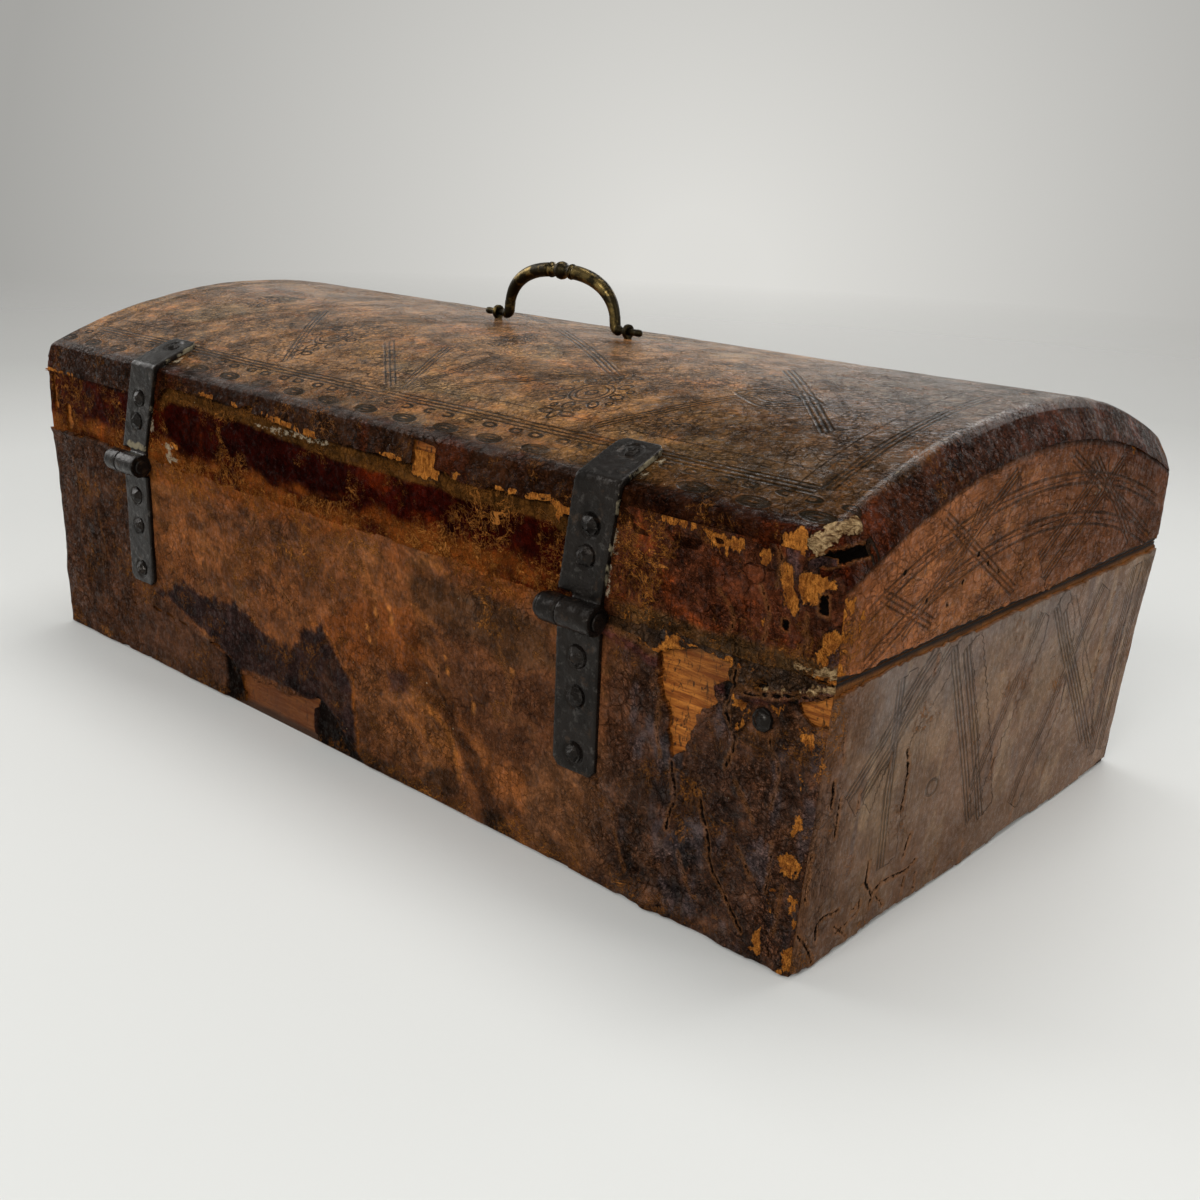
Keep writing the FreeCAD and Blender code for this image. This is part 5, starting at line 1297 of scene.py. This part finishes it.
def front_base_finish(u, v, place):
    look = Finish(u, v, "553320", (4.6, 4.4))
    look.weather((
        (0.65, 50, 30, 171, -0.1, 0.8, "3a2114"), (0.55, 40, 22, 172, 0.1, 0.9, "7a4a27"),
        (0.55, 12, 9, 173, 0.1, 0.8, "2c190f"), (0.5, 14, 10, 174, 0.2, 0.9, "80502a")))
    look.stain(0.6 * blot(u, v, (0, 60), (52, 40), 0.6, 175), "26150e")
    look.stain(0.55 * rise(14 - v, 0, 12), "24150f")
    wrinkled(look, 0.12, 176)
    look.relief += 0.5 * clouds(u, v, 70, 40, 178, 2)
    look.gloss += 0.25 + 0.35 * clouds(u, v, 40, 26, 179)
    ends = rise(np.abs(u), 198, 208)
    look.crackle += 0.1 + 0.3 * clouds(u, v, 36, 20, 180) + 0.3 * rise(v, 82, 89) + 0.3 * ends
    look.flake += 0.4 * ends * patchy(u, v, 14, 14, 181, -0.1, 0.8)
    look.flake += 0.26 * rise(7 - v, 0, 6) * patchy(u, v, 20, 6, 182, 0.0, 0.8)
    look.dust += 0.18 + 0.14 * clouds(u, v, 30, 22, 183)

    # Tooling: a frame on each side of the lock, crossed by fillets
    for side in (-1, 1):
        fillet(look, 0, (side * 196, 82), (side * 36, 82))
        fillet(look, 0, (-196 * side, 9), (0, 9))
        fillet(look, 1, (side * 194, 10), (side * 194, 82))
        fillet(look, 1, (side * 36, 10), (side * 36, 82))
        fillet(look, 0, (side * 188, 76), (side * 44, 15))
        fillet(look, 1, (side * 188, 15), (side * 44, 76))
        stamp(look, (side * 116, 45.5), (27, 23))
        floret(look, (side * 116, 45.5))

    # Torn edges and the opening for the key
    ragged = torn_line(u, v, 184)
    look.rip(v - base_top - 0.4 + 0.8 * ragged + 1.8 * rise(np.abs(u), 196, 209))
    look.rip(foot + 0.6 + ragged * 0.9 - v + 1.6 * patchy(u, v, 40, 40, 186, 0.2, 0.9))
    look.rip(np.maximum(4.4 - np.hypot(u, v - 60), np.minimum(2.4 - np.abs(u), 5 - np.abs(v - 56))))
    return look


def front_lid_finish(u, v, place):
    look = Finish(u, v, "43200f", (4.6, 3.8))
    look.weather((
        (0.6, 40, 16, 191, 0.0, 0.9, "28110a"), (0.55, 26, 12, 192, 0.1, 0.9, "6d3a1c"),
        (0.5, 10, 8, 193, 0.1, 0.8, "1d0c07")))
    wrinkled(look, 0.12, 194)
    look.relief += 0.4 * clouds(u, v, 60, 30, 196, 2)
    look.gloss += 0.5 + 0.3 * clouds(u, v, 30, 20, 197)
    look.crackle += 0.2 + 0.35 * clouds(u, v, 30, 14, 198)
    look.flake += 0.3 * rise(98 - v, 0, 6) * patchy(u, v, 20, 6, 199, 0.0, 0.8)
    look.flake += 0.34 * rise(np.abs(u), 196, 208)
    look.dust += 0.16
    fillet(look, 0, (-196, 98), (196, 98))
    ragged = torn_line(u, v, 200)
    look.rip(lid_foot - 0.6 + 0.8 * ragged - v + 1.2 * rise(np.abs(u), 198, 209))
    look.relief -= 0.35 * rise(v, 113, 117)
    under_shoulder(look)
    return look


def spread(low, high, step):
    return np.linspace(low, high, int(round((high - low) / step)) + 1)


lengthwise = np.concatenate((spread(-half_length, -138, 0.8)[:-1], spread(-138, half_length, 1.5)))
crosswise = np.concatenate((spread(-half_depth, 30, 1.5)[:-1], spread(30, half_depth, 0.75)))
base_height = spread(foot, base_top, 0.9)
base_side_height = spread(foot, base_top + 1.1, 0.95)
lid_side_height = spread(lid_foot - 1.0, 124.0, 0.9)
shares = spread(0.0, 1.0, 0.02)
end_u = half_length + 7.6
end_v = arch_half + band
flat_u = half_length - 13
flat_v = arch_half - 9
dome_u, dome_v = (
    np.concatenate((spread(-end, -flat, 0.8)[:-1], spread(-flat, flat, step), spread(flat, end, 0.8)[1:]))
    for end, flat, step in ((end_u, flat_u, 1.9), (end_v, flat_v, 1.8)))
leather_sheet("leather_over_dome", "lid_leather_top", "lid", dome_u, dome_v, over_dome, top_finish,
              (0, 0, 1))
for name, covers, body, up, side, finish in (
    ("leather_lid_hinge_side", "lid_leather_back", "lid", lid_side_height, 1, back_lid_finish),
    ("leather_lid_lock_side", "lid_leather_front", "lid", lid_side_height, -1, front_lid_finish),
    ("leather_base_hinge_side", "base_leather_back", "base", base_side_height, 1, back_base_finish),
    ("leather_base_lock_side", "base_leather_front", "base", base_side_height, -1, front_base_finish),
):
    leather_sheet(name, covers, body, lengthwise, up, along_wall(side), finish, (0, side, 0))
for end_name, side in (("left_end", -1), ("right_end", 1)):
    leather_sheet("leather_lid_" + end_name, "lid_leather_" + end_name, "lid", crosswise, shares,
                  under_arch(side), lid_end_finish, (side, 0, 0))
    leather_sheet("leather_base_" + end_name, "base_leather_" + end_name, "base", crosswise, base_height,
                  across_end(side), base_end_finish, (side, 0, 0))


# Hinge irons: strap hinges forged from flat bar. Each leaf ends in a rolled eye, the lid's leaf is
# bent over the dome, and a headed pin joins the eyes. Age has blackened them, and pale polish
# has caught along their edges and above the knuckles.
hinge_pit_radius = 4.3
hinge_pit_depth = 0.45
strap_thickness = 2.0
base_nail_heights = (73.9, 61.1, 42.2)
lid_nail_shares = (0.35, 0.63)
dome_nail_from_edge = 13.3
dome_nail_lift = 1.3
iron_rust = (0.04, 0.023, 0.013)
iron_polish = (0.26, 0.22, 0.14)


def iron(name, shade, rough):
    made, shader = material(name, shade, rough, specular=0.3)
    g = Graph(made)
    where = g.place()
    broad = g.noise(90.0, 5.0, 0.6, where)
    fine = g.noise(900.0, 4.0, 0.65, where)
    lighter = tuple(part * 1.25 for part in shade)
    darker = tuple(part * 0.5 for part in shade)
    colour = g.mix(g.ramp(broad, 0.44, 0.6), lighter, darker)
    colour = g.mix(g.ramp(g.noise(200.0, 5.0, 0.7, where), 0.58, 0.7, 0.0, 0.6), colour, iron_rust)
    pale = g.ramp(g.sum(g.read("pale"), g.noise(420.0, 4.0, 0.7, where)), 0.95, 1.15)
    colour = g.mix(g.times(pale, 0.8), colour, iron_polish)
    g.feed(shader.inputs["Base Color"], colour)
    rubbed = g.ramp(g.noise(420.0, 4.0, 0.7, where), 0.56, 0.7, 0.14, 0.6)
    g.feed(shader.inputs["Specular IOR Level"], rubbed)
    shader.inputs["Specular Tint"].default_value = (1.0, 0.9, 0.8, 1.0)
    rough_here = g.ramp(broad, 0.3, 0.7, rough - 0.1, rough + 0.1)
    g.feed(shader.inputs["Roughness"], g.sum(rough_here, g.times(pale, 0.4)))
    normal = g.bump(fine, 0.0002, 0.7)
    normal = g.bump(g.noise(120.0, 3.0, 0.5, where), 0.0009, 0.6, normal)
    g.feed(shader.inputs["Normal"], g.bump(g.cells(300.0, where, "SMOOTH_F1"), 0.0003, 0.6, normal))
    return made


def remade(covers, voxel, rounds):
    # A merged copy of CAD nodes, in one unbroken skin with eased edges
    form = bmesh.new()
    for node in covers:
        copied = nodes[node].data.copy()
        copied.transform(nodes[node].matrix_world)
        form.from_mesh(copied)
        bpy.data.meshes.remove(copied)
    mesh = bpy.data.meshes.new("merged")
    form.to_mesh(mesh)
    form.free()
    piece = put("merged", mesh)
    skin = piece.modifiers.new("skin", "REMESH")
    skin.mode = "VOXEL"
    skin.voxel_size = voxel
    ease = piece.modifiers.new("ease", "SMOOTH")
    ease.factor = 0.5
    ease.iterations = rounds
    return plain_mesh(piece)


def plain_mesh(piece):
    # What the modifiers make of a piece, as a mesh of its own. The piece goes.
    made = bpy.data.meshes.new_from_object(piece.evaluated_get(bpy.context.evaluated_depsgraph_get()))
    old = piece.data
    bpy.data.objects.remove(piece)
    bpy.data.batch_remove([old])
    return made


def settle(name, mesh, covers, body, made, smooth=50):
    # Gives a finished mesh its name, its look and its place in the frame
    mesh.materials.clear()
    mesh.materials.append(made)
    mesh.polygons.foreach_set("use_smooth", [True] * len(mesh.polygons))
    mesh.set_sharp_from_angle(angle=math.radians(smooth))
    piece = put(name, mesh)
    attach(piece, body)
    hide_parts(*covers)


def hammered(mesh, dent, pits=(), pale=None):
    # Shallow dents over a forged face, a worn pit round each nail, and where pale dirt sits
    count = len(mesh.vertices)
    place = np.empty(count * 3)
    mesh.vertices.foreach_get("co", place)
    place = place.reshape(-1, 3)
    normal = np.empty(count * 3)
    mesh.vertex_normals.foreach_get("vector", normal)
    normal = normal.reshape(-1, 3)
    at = place / mm
    push = dent * clouds(at[:, 0] + at[:, 1], at[:, 2] + at[:, 1] * 0.7, 9, 9, 201, 2)
    push += dent * 0.4 * clouds(at[:, 0] - at[:, 1], at[:, 2] - at[:, 1], 3, 3, 202, 2)
    for spot, facing in pits:
        away = at - np.array(spot)
        away -= (away @ np.array(facing))[:, None] * np.array(facing)
        face = (normal @ np.array(facing)) > 0.6
        push -= hinge_pit_depth * rise(hinge_pit_radius - np.linalg.norm(away, axis=1), 0, 0.7) * face
    place += normal * push[:, None] * mm
    mesh.vertices.foreach_set("co", place.ravel())
    shade = mesh.attributes.new("pale", "FLOAT", "POINT")
    shade.data.foreach_set("value", np.zeros(count) if pale is None else pale(at, normal))
    mesh.update()
    return mesh


# Nails: square wrought nails with rose heads, struck flat by a few blows. No two sit alike.
def recipe(name, given, result, inputs):
    # A group of geometry nodes that makes a result from what it is given and from named inputs
    tree = bpy.data.node_groups.new(name, "GeometryNodeTree")
    face = tree.interface
    face.new_socket(given, in_out="INPUT", socket_type="NodeSocketGeometry")
    face.new_socket(result, in_out="OUTPUT", socket_type="NodeSocketGeometry")
    sockets = {}
    for key, kind, start in inputs:
        sockets[key] = face.new_socket(key, in_out="INPUT", socket_type="NodeSocket" + kind)
        if start is not None:
            sockets[key].default_value = start
    graph = Graph(tree)
    return tree, sockets, graph, graph.node("NodeGroupInput").outputs, graph.node("NodeGroupOutput")


nail_recipe, nail_inputs, g, given, result = recipe("rose_nails", "Spots", "Nails", (
    ("Head radius", "Float", 0.0038), ("Crown radius", "Float", 0.0011), ("Head height", "Float", 0.0024),
    ("Shank size", "Float", 0.0017), ("Shank length", "Float", 0.0085), ("Seed", "Int", None),
    ("Finish", "Material", None)))


def lift(part, height):
    return g.node("GeometryNodeTransform", {
        "Geometry": part, "Translation": g.node("CombineXYZ", {"Z": height}).outputs[0]}).outputs[0]


brim = g.node("GeometryNodeMeshCone", {"Vertices": 9, "Side Segments": 2, "Fill Segments": 2,
                                       "Radius Top": g.times(given["Head radius"], 0.93),
                                       "Radius Bottom": given["Head radius"],
                                       "Depth": g.times(given["Head height"], 0.3)})
crown = g.node("GeometryNodeMeshCone", {
    "Vertices": 5, "Side Segments": 4, "Fill Segments": 2, "Radius Top": given["Crown radius"],
    "Radius Bottom": g.times(given["Head radius"], 0.96), "Depth": g.times(given["Head height"], 0.72)})
shaft = g.node("GeometryNodeMeshCone", {"Vertices": 4, "Radius Top": given["Shank size"],
                                        "Radius Bottom": 0.0004, "Depth": given["Shank length"]})
parts = g.node("GeometryNodeJoinGeometry")
for part in (brim.outputs[0], lift(crown.outputs[0], g.times(given["Head height"], 0.28)),
             lift(shaft.outputs[0], g.times(given["Shank length"], -0.98))):
    g.tree.links.new(part, parts.inputs[0])
facing = g.node("GeometryNodeInputNamedAttribute", {"Name": "facing"}, data_type="FLOAT_VECTOR")
upright = g.node("FunctionNodeAlignRotationToVector", {"Vector": facing.outputs[0]}, axis="Z")
turned = g.node("FunctionNodeRandomValue", {"Seed": given["Seed"]}, data_type="FLOAT_VECTOR")
turned.inputs["Min"].default_value = (-0.09, -0.09, 0.0)
turned.inputs["Max"].default_value = (0.09, 0.09, 6.28)
turn_by = g.node("FunctionNodeEulerToRotation", {0: turned.outputs[0]}).outputs[0]
spun = g.node("FunctionNodeRotateRotation", {"Rotation": upright.outputs[0], "Rotate By": turn_by},
              rotation_space="LOCAL")
struck = g.node("FunctionNodeRandomValue", {"Seed": g.sum(given["Seed"], 1)}, data_type="FLOAT_VECTOR")
struck.inputs["Min"].default_value = (0.86, 0.86, 0.85)
struck.inputs["Max"].default_value = (1.04, 1.04, 1.0)
placed = g.node("GeometryNodeInstanceOnPoints", {
    "Points": given["Spots"], "Instance": parts.outputs[0], "Rotation": spun.outputs[0],
    "Scale": struck.outputs[0]})
real = g.node("GeometryNodeRealizeInstances", {"Geometry": placed.outputs[0]})
dent = g.node("TexNoise", {"Scale": 700.0, "Detail": 2.0})
shift = g.vector(dent.outputs["Color"], (0.5, 0.5, 0.5), "SUBTRACT")
shift = g.node("VectorMath", {0: shift, "Scale": 0.0011}, operation="SCALE")
bent = g.node("GeometryNodeSetPosition", {"Geometry": real.outputs[0], "Offset": shift.outputs[0]})
painted = g.node("GeometryNodeSetMaterial", {"Geometry": bent.outputs[0], "Material": given["Finish"]})
g.tree.links.new(painted.outputs[0], result.inputs[0])


def nails(name, covers, body, spots, made, seed, **sizes):
    # spots are places in millimetres on the face under the heads, with the way each head faces
    mesh = bpy.data.meshes.new(name)
    mesh.from_pydata([tuple(part * mm for part in spot) for spot, facing in spots], [], [])
    way = mesh.attributes.new("facing", "FLOAT_VECTOR", "POINT")
    way.data.foreach_set("vector", [part for spot, facing in spots for part in facing])
    piece = put(name, mesh)
    maker = piece.modifiers.new("nails", "NODES")
    maker.node_group = nail_recipe
    maker[nail_inputs["Seed"].identifier] = seed
    maker[nail_inputs["Finish"].identifier] = made
    for key, size in sizes.items():
        maker[nail_inputs[key.replace("_", " ").capitalize()].identifier] = size * mm
    settle(name, plain_mesh(piece), covers, body, made, 25)


hinge_iron = iron("blackened_iron", (0.0065, 0.005, 0.0042), 0.24)
lock_iron = iron("lock_iron", (0.03, 0.024, 0.02), 0.34)
strap_face = half_depth + strap_thickness
nail_seat = strap_face - hinge_pit_depth
flange_angle = math.asin((half_depth - dome_nail_from_edge) / arch_radius)
flange_up = (0.0, math.sin(flange_angle), math.cos(flange_angle))
out = (0.0, 1.0, 0.0)
for hinge, hinge_x, skew in hinges:
    base_spots = [((hinge_x, nail_seat, z), out) for z in base_nail_heights]
    lid_spots = [((hinge_x + skew * share, nail_seat, strap_foot + strap_rise * share), out)
                 for share in lid_nail_shares]
    on_dome = (hinge_x + skew, arch_radius * flange_up[1], arch_centre + arch_radius * flange_up[2])
    top_spot = (on_dome, flange_up)
    top_seat = tuple(part + dome_nail_lift * way for part, way in zip(on_dome, flange_up))

    def edge_dirt(at, normal, middle=hinge_x, lean=skew):
        # Pale polish lies along the left edge of the strap and above the knuckle
        left_edge = rise(-normal[:, 0], 0.3, 0.8) * rise(at[:, 2], 92, 100)
        above_knuckle = rise(at[:, 2], 93.4, 94.6) * rise(98.5 - at[:, 2], 0, 3)
        above_knuckle = above_knuckle * rise(at[:, 1], 108, 108.8)
        over_dome = 0.24 * rise(at[:, 2], 131, 134)
        broken = 0.4 * clouds(at[:, 0] + at[:, 1], at[:, 2] - at[:, 1], 6, 6, 203, 3)
        edges = 0.3 * left_edge + 0.5 * above_knuckle + over_dome * rise(-normal[:, 0], 0.2, 0.6)
        return np.maximum(edges + broken * (edges > 0.1), 0)

    prefix = "hinge_" + hinge
    leaf = hammered(remade([prefix + "_base_leaf"], 0.00042, 3), 0.1, base_spots, edge_dirt)
    settle(prefix + "_leaf_on_base", leaf, [prefix + "_base_leaf"], "base", hinge_iron)
    leaf = hammered(remade([prefix + "_lid_leaf"], 0.00045, 3), 0.1, lid_spots + [top_spot], edge_dirt)
    settle(prefix + "_leaf_on_lid", leaf, [prefix + "_lid_leaf"], "lid", hinge_iron)
    pin = hammered(remade([prefix + "_pin"], 0.0003, 4), 0.08)
    settle(prefix + "_headed_pin", pin, [prefix + "_pin"], "base", hinge_iron)
    nails(prefix + "_nails_in_base", [prefix + "_base_nails"], "base", base_spots, hinge_iron, 5)
    nails(prefix + "_nails_in_lid", [prefix + "_lid_nails"], "lid", lid_spots, hinge_iron, 8)
    nails(prefix + "_nail_in_dome", [prefix + "_lid_nails"], "lid", [(top_seat, flange_up)], hinge_iron, 3,
          head_radius=2.7, crown_radius=1.3, head_height=1.5, shank_length=7.8)
corner_spot = ((corner_nail_x, half_depth - 0.4, corner_nail_z), out)
nails("corner_nail_head", ["corner_nail"], "base", [corner_spot], hinge_iron, 2)


# Handle: a bail of cast brass, filed smooth, with a turned bead between two collars. Its arms
# thicken towards the crest and turn out at the ankles into thin feet with round ends.
def blob(along, centre, reach, tall):
    # A rounded swelling of a turned form
    share = np.clip(np.abs(along - centre) / reach, 0, 1)
    return tall * np.sqrt(1 - share ** 2)


bail_recipe, bail_inputs, g, given, result = recipe("bail", "Path", "Bail", (
    ("Fullness", "Float", 1.0), ("Flats", "Int", 28), ("Finish", "Material", None)))
thick = g.node("GeometryNodeInputNamedAttribute", {"Name": "thick"}, data_type="FLOAT")
swept = g.node("GeometryNodeCurveToMesh", {
    "Curve": g.node("GeometryNodeMeshToCurve", {"Mesh": given["Path"]}).outputs[0],
    "Profile Curve": g.node("GeometryNodeCurvePrimitiveCircle", {
        "Resolution": given["Flats"], "Radius": 1.0}).outputs[0],
    "Scale": g.times(thick.outputs[0], given["Fullness"]), "Fill Caps": True})
painted = g.node("GeometryNodeSetMaterial", {
    "Geometry": g.node("GeometryNodeRealizeInstances", {"Geometry": swept.outputs[0]}).outputs[0],
    "Material": given["Finish"]})
g.tree.links.new(painted.outputs[0], result.inputs[0])


def brass(name, dark, worn):
    made, shader = material(name, dark, 0.36, metallic=1.0, specular=0.5)
    g = Graph(made)
    where = g.place()
    rubbed = g.noise(150.0, 4.0, 0.6, where)
    fine = g.noise(1300.0, 4.0, 0.6, where)
    colour = g.mix(g.ramp(rubbed, 0.5, 0.68), dark, worn)
    colour = g.mix(g.ramp(fine, 0.56, 0.72, 0.0, 0.8), colour, tuple(part * 0.3 for part in dark))
    g.feed(shader.inputs["Base Color"], colour)
    g.feed(shader.inputs["Roughness"], g.ramp(rubbed, 0.3, 0.7, 0.5, 0.27))
    g.feed(shader.inputs["Normal"], g.bump(fine, 0.00012, 0.5))
    return made


old_brass = brass("old_brass", (0.02, 0.015, 0.007), (0.24, 0.165, 0.055))
bail_x, bail_z = -4.2, 154.5
leg_reach, bail_rise, foot_reach = 28.8, 19.5, 42.3
foot_radius, leg_radius, crest_swell = 1.3, 2.0, 0.75
ankle_height, ankle_radius, bend_round = 1.4, 2.15, 1.9
foot_ball, foot_ring = (40.3, 2.0, 1.4), (37.6, 0.7, 1.4)
neck_reach, neck_radius = 6.6, 2.2
collar, bead = (5.3, 1.1, 3.1), (0.0, 3.2, 3.5)
quarter = np.linspace(math.radians(9), math.radians(90), 90)
arm = np.stack((leg_reach * np.cos(quarter) ** 0.8, bail_rise * np.sin(quarter) ** 0.8), 1)
bend = np.linspace(math.radians(-90), math.radians(0), 12)[:-1]
ankle = np.stack((leg_reach + bend_round * (1 - np.cos(bend)), bend_round * (1 + np.sin(bend))), 1)
straight = np.stack((np.linspace(foot_reach, leg_reach + bend_round + 0.3, 46), np.zeros(46)), 1)
half_path = np.concatenate((straight, ankle, arm))
path = np.concatenate((half_path, half_path[-2::-1] * (-1, 1)))
reach = np.abs(path[:, 0])
height = path[:, 1]
share = rise(height, 1.5, bail_rise)
thick_mm = np.where(height > ankle_height, leg_radius + crest_swell * share, foot_radius)
thick_mm = np.maximum(thick_mm, ankle_radius * rise(leg_reach + 4.4 - reach, 0, 2.6) * (height < 5))
low = height < ankle_height
for swelling in (foot_ball, foot_ring):
    thick_mm = np.where(low, np.maximum(thick_mm, blob(reach, *swelling)), thick_mm)
thick_mm = np.where(low & (reach > 41.6), thick_mm * rise(42.5 - reach, 0, 0.9), thick_mm)
high = height > bail_rise - 2.4
thick_mm = np.where(high & (reach < neck_reach), neck_radius, thick_mm)
for swelling in (collar, bead):
    thick_mm = np.where(high, np.maximum(thick_mm, blob(reach, *swelling)), thick_mm)
thick_mm = np.maximum(thick_mm, 0.3)
bail_mesh = bpy.data.meshes.new("bail_path")
bail_points = [((bail_x + x) * mm, 0.0, (bail_z + z) * mm) for x, z in path]
bail_mesh.from_pydata(bail_points, [(n, n + 1) for n in range(len(path) - 1)], [])
bail_mesh.attributes.new("thick", "FLOAT", "POINT").data.foreach_set("value", thick_mm * mm)
bail = put("bail_path", bail_mesh)
maker = bail.modifiers.new("bail", "NODES")
maker.node_group = bail_recipe
maker[bail_inputs["Finish"].identifier] = old_brass
settle("bail", plain_mesh(bail), ["handle_bail"], "handle", old_brass, 60)


# Split pins: strips of sheet brass bent round the bail's feet, put through the dome and
# spread inside the lid.
for pin_side in ("left", "right"):
    source = "handle_%s_split_pin" % pin_side
    pin = remade([source], 0.00022, 4)
    settle("split_pin_" + pin_side, pin, [source], "lid", old_brass)


# Lock: a plate of sheet iron with a keyhole on the lock side, and inside the box a riveted case
# with a sliding bolt, which catches the staple that hangs from the lid.
for name, covers, body, voxel in (
    ("keyhole_plate", "lock_plate", "base", 0.0004),
    ("lock_case_inside", "lock_case", "base", 0.00045),
    ("key_post", "lock_key_post", "base", 0.0002),
    ("bolt_keeper", "lock_bolt_keeper", "base", 0.00022),
    ("sliding_bolt", "lock_bolt", "lock_bolt", 0.00025),
    ("staple_in_lid", "lid_lock_staple", "lid", 0.00032),
):
    settle(name, hammered(remade([covers], voxel, 2), 0.05), [covers], body, lock_iron)
plate_face, case_face, staple_face = -half_depth - 1.6, -96.1, -95.6
small = {"head_radius": 2.2, "crown_radius": 0.7, "head_height": 1.2, "shank_size": 1.1,
         "shank_length": 6.0}
plate_spots = [((x, plate_face, z), (0, -1, 0)) for x in (-14, 14) for z in (46, 78)]
nails("keyhole_plate_nails", ["lock_plate_nails"], "base", plate_spots, hinge_iron, 12, **small)
case_spots = [((x, case_face, z), (0, 1, 0)) for x in (-27, 27) for z in (58, 78)]
nails("lock_case_nail_heads", ["lock_case_nails"], "base", case_spots, lock_iron, 13, **small)
staple_spots = [((x, staple_face, 97.8), (0, 1, 0)) for x in (-8.5, 8.5)]
nails("staple_nail_heads", ["lid_staple_nails"], "lid", staple_spots, lock_iron, 14, **small)


# Setting: a pale grey table that fades into a wall of nearly the same grey. The table is painted
# darker away from a spot in front of the box and the wall is painted brightest behind the box, as
# painted light. Five soft windows light it: one overhead, one low beyond the lock side, one
# beyond each end of the box, and the strongest behind the camera.
table_colour = (0.68, 0.685, 0.665)
table_painted_shade_colour = (0.44, 0.44, 0.425)
wall_colour = (0.73, 0.722, 0.69)
painted_glow_way = (0.6173, -0.7815, -0.0911)
box_middle = (0, 0, 0.06)

table = put("table", bpy.data.meshes.new("table"))
table_form = bmesh.new()
bmesh.ops.create_circle(table_form, cap_ends=True, segments=96, radius=2.4)
table_form.to_mesh(table.data)
table_form.free()
table_paint, table_shader = material("table", table_colour, 0.55, specular=0.3)
g = Graph(table_paint)
# Painted falloff of light: the table grows darker away from a lit spot in front of the box
from_lit_spot = g.vector(g.place(), (0.1, -0.25, 0.0), "ADD")
painted_falloff = g.ramp(g.far(from_lit_spot), 0.35, 1.15)
g.feed(table_shader.inputs["Base Color"], g.mix(painted_falloff, table_colour, table_painted_shade_colour))
table_reach = g.far(g.place())
faded = g.node("MixShader", {0: g.ramp(table_reach, 0.55, 1.9)})
g.tree.links.new(table_shader.outputs[0], faded.inputs[1])
g.tree.links.new(g.node("BsdfTransparent").outputs[0], faded.inputs[2])
g.tree.links.new(faded.outputs[0], g.tree.nodes["Material Output"].inputs["Surface"])
table.data.materials.append(table_paint)

room = bpy.data.worlds.new("room")
bpy.context.scene.world = room
room.use_nodes = True
g = Graph(room)
light_path = g.node("LightPath")
seen = g.most(light_path.outputs["Is Camera Ray"], light_path.outputs["Is Transmission Ray"])
look_way = g.node("TexCoord").outputs["Generated"]
look_up = g.split(look_way)["Z"]
mirrored = g.times(light_path.outputs["Is Glossy Ray"], g.ramp(look_up, 0.25, 0.6, 0.85, 0.24))
# Painted glow: the wall as the camera sees it is brightest in the way behind the box and dimmer away from
# it
painted_glow_facing = g.node("VectorMath", {0: look_way, 1: painted_glow_way}, operation="DOT_PRODUCT").outputs["Value"]
seen = g.times(seen, g.ramp(g.sum(painted_glow_facing, 0.0, "ARCCOSINE"), 0.05, 0.47, 1.0, 0.52))
strength = g.most(g.most(seen, mirrored), 0.34)
g.tree.nodes["Background"].inputs["Color"].default_value = (*wall_colour, 1.0)
g.feed(g.tree.nodes["Background"].inputs["Strength"], strength)

for lamp_name, place, width, height, power in (
    ("window_above", (0.1, -0.45, 2.1), 1.7, 0.8, 20),
    ("window_low_beyond", (0.1, -1.9, 0.86), 2.4, 0.5, 9),
    ("window_left", (-2.0, -0.15, 1.0), 1.3, 1.2, 14),
    ("window_behind_camera", (-0.5, 2.3, 1.6), 1.5, 0.9, 44),
    ("window_right", (2.2, 0.6, 1.2), 1.4, 1.2, 19),
):
    lamp = put(lamp_name, bpy.data.lights.new(lamp_name, "AREA"))
    lamp.data.shape = "RECTANGLE"
    lamp.data.size = width
    lamp.data.size_y = height
    lamp.data.energy = power
    lamp.location = place
    lamp.rotation_mode = "QUATERNION"
    lamp.rotation_quaternion = (Vector(box_middle) - Vector(place)).to_track_quat("-Z", "Y")

bpy.context.scene.view_settings.view_transform = "Standard"
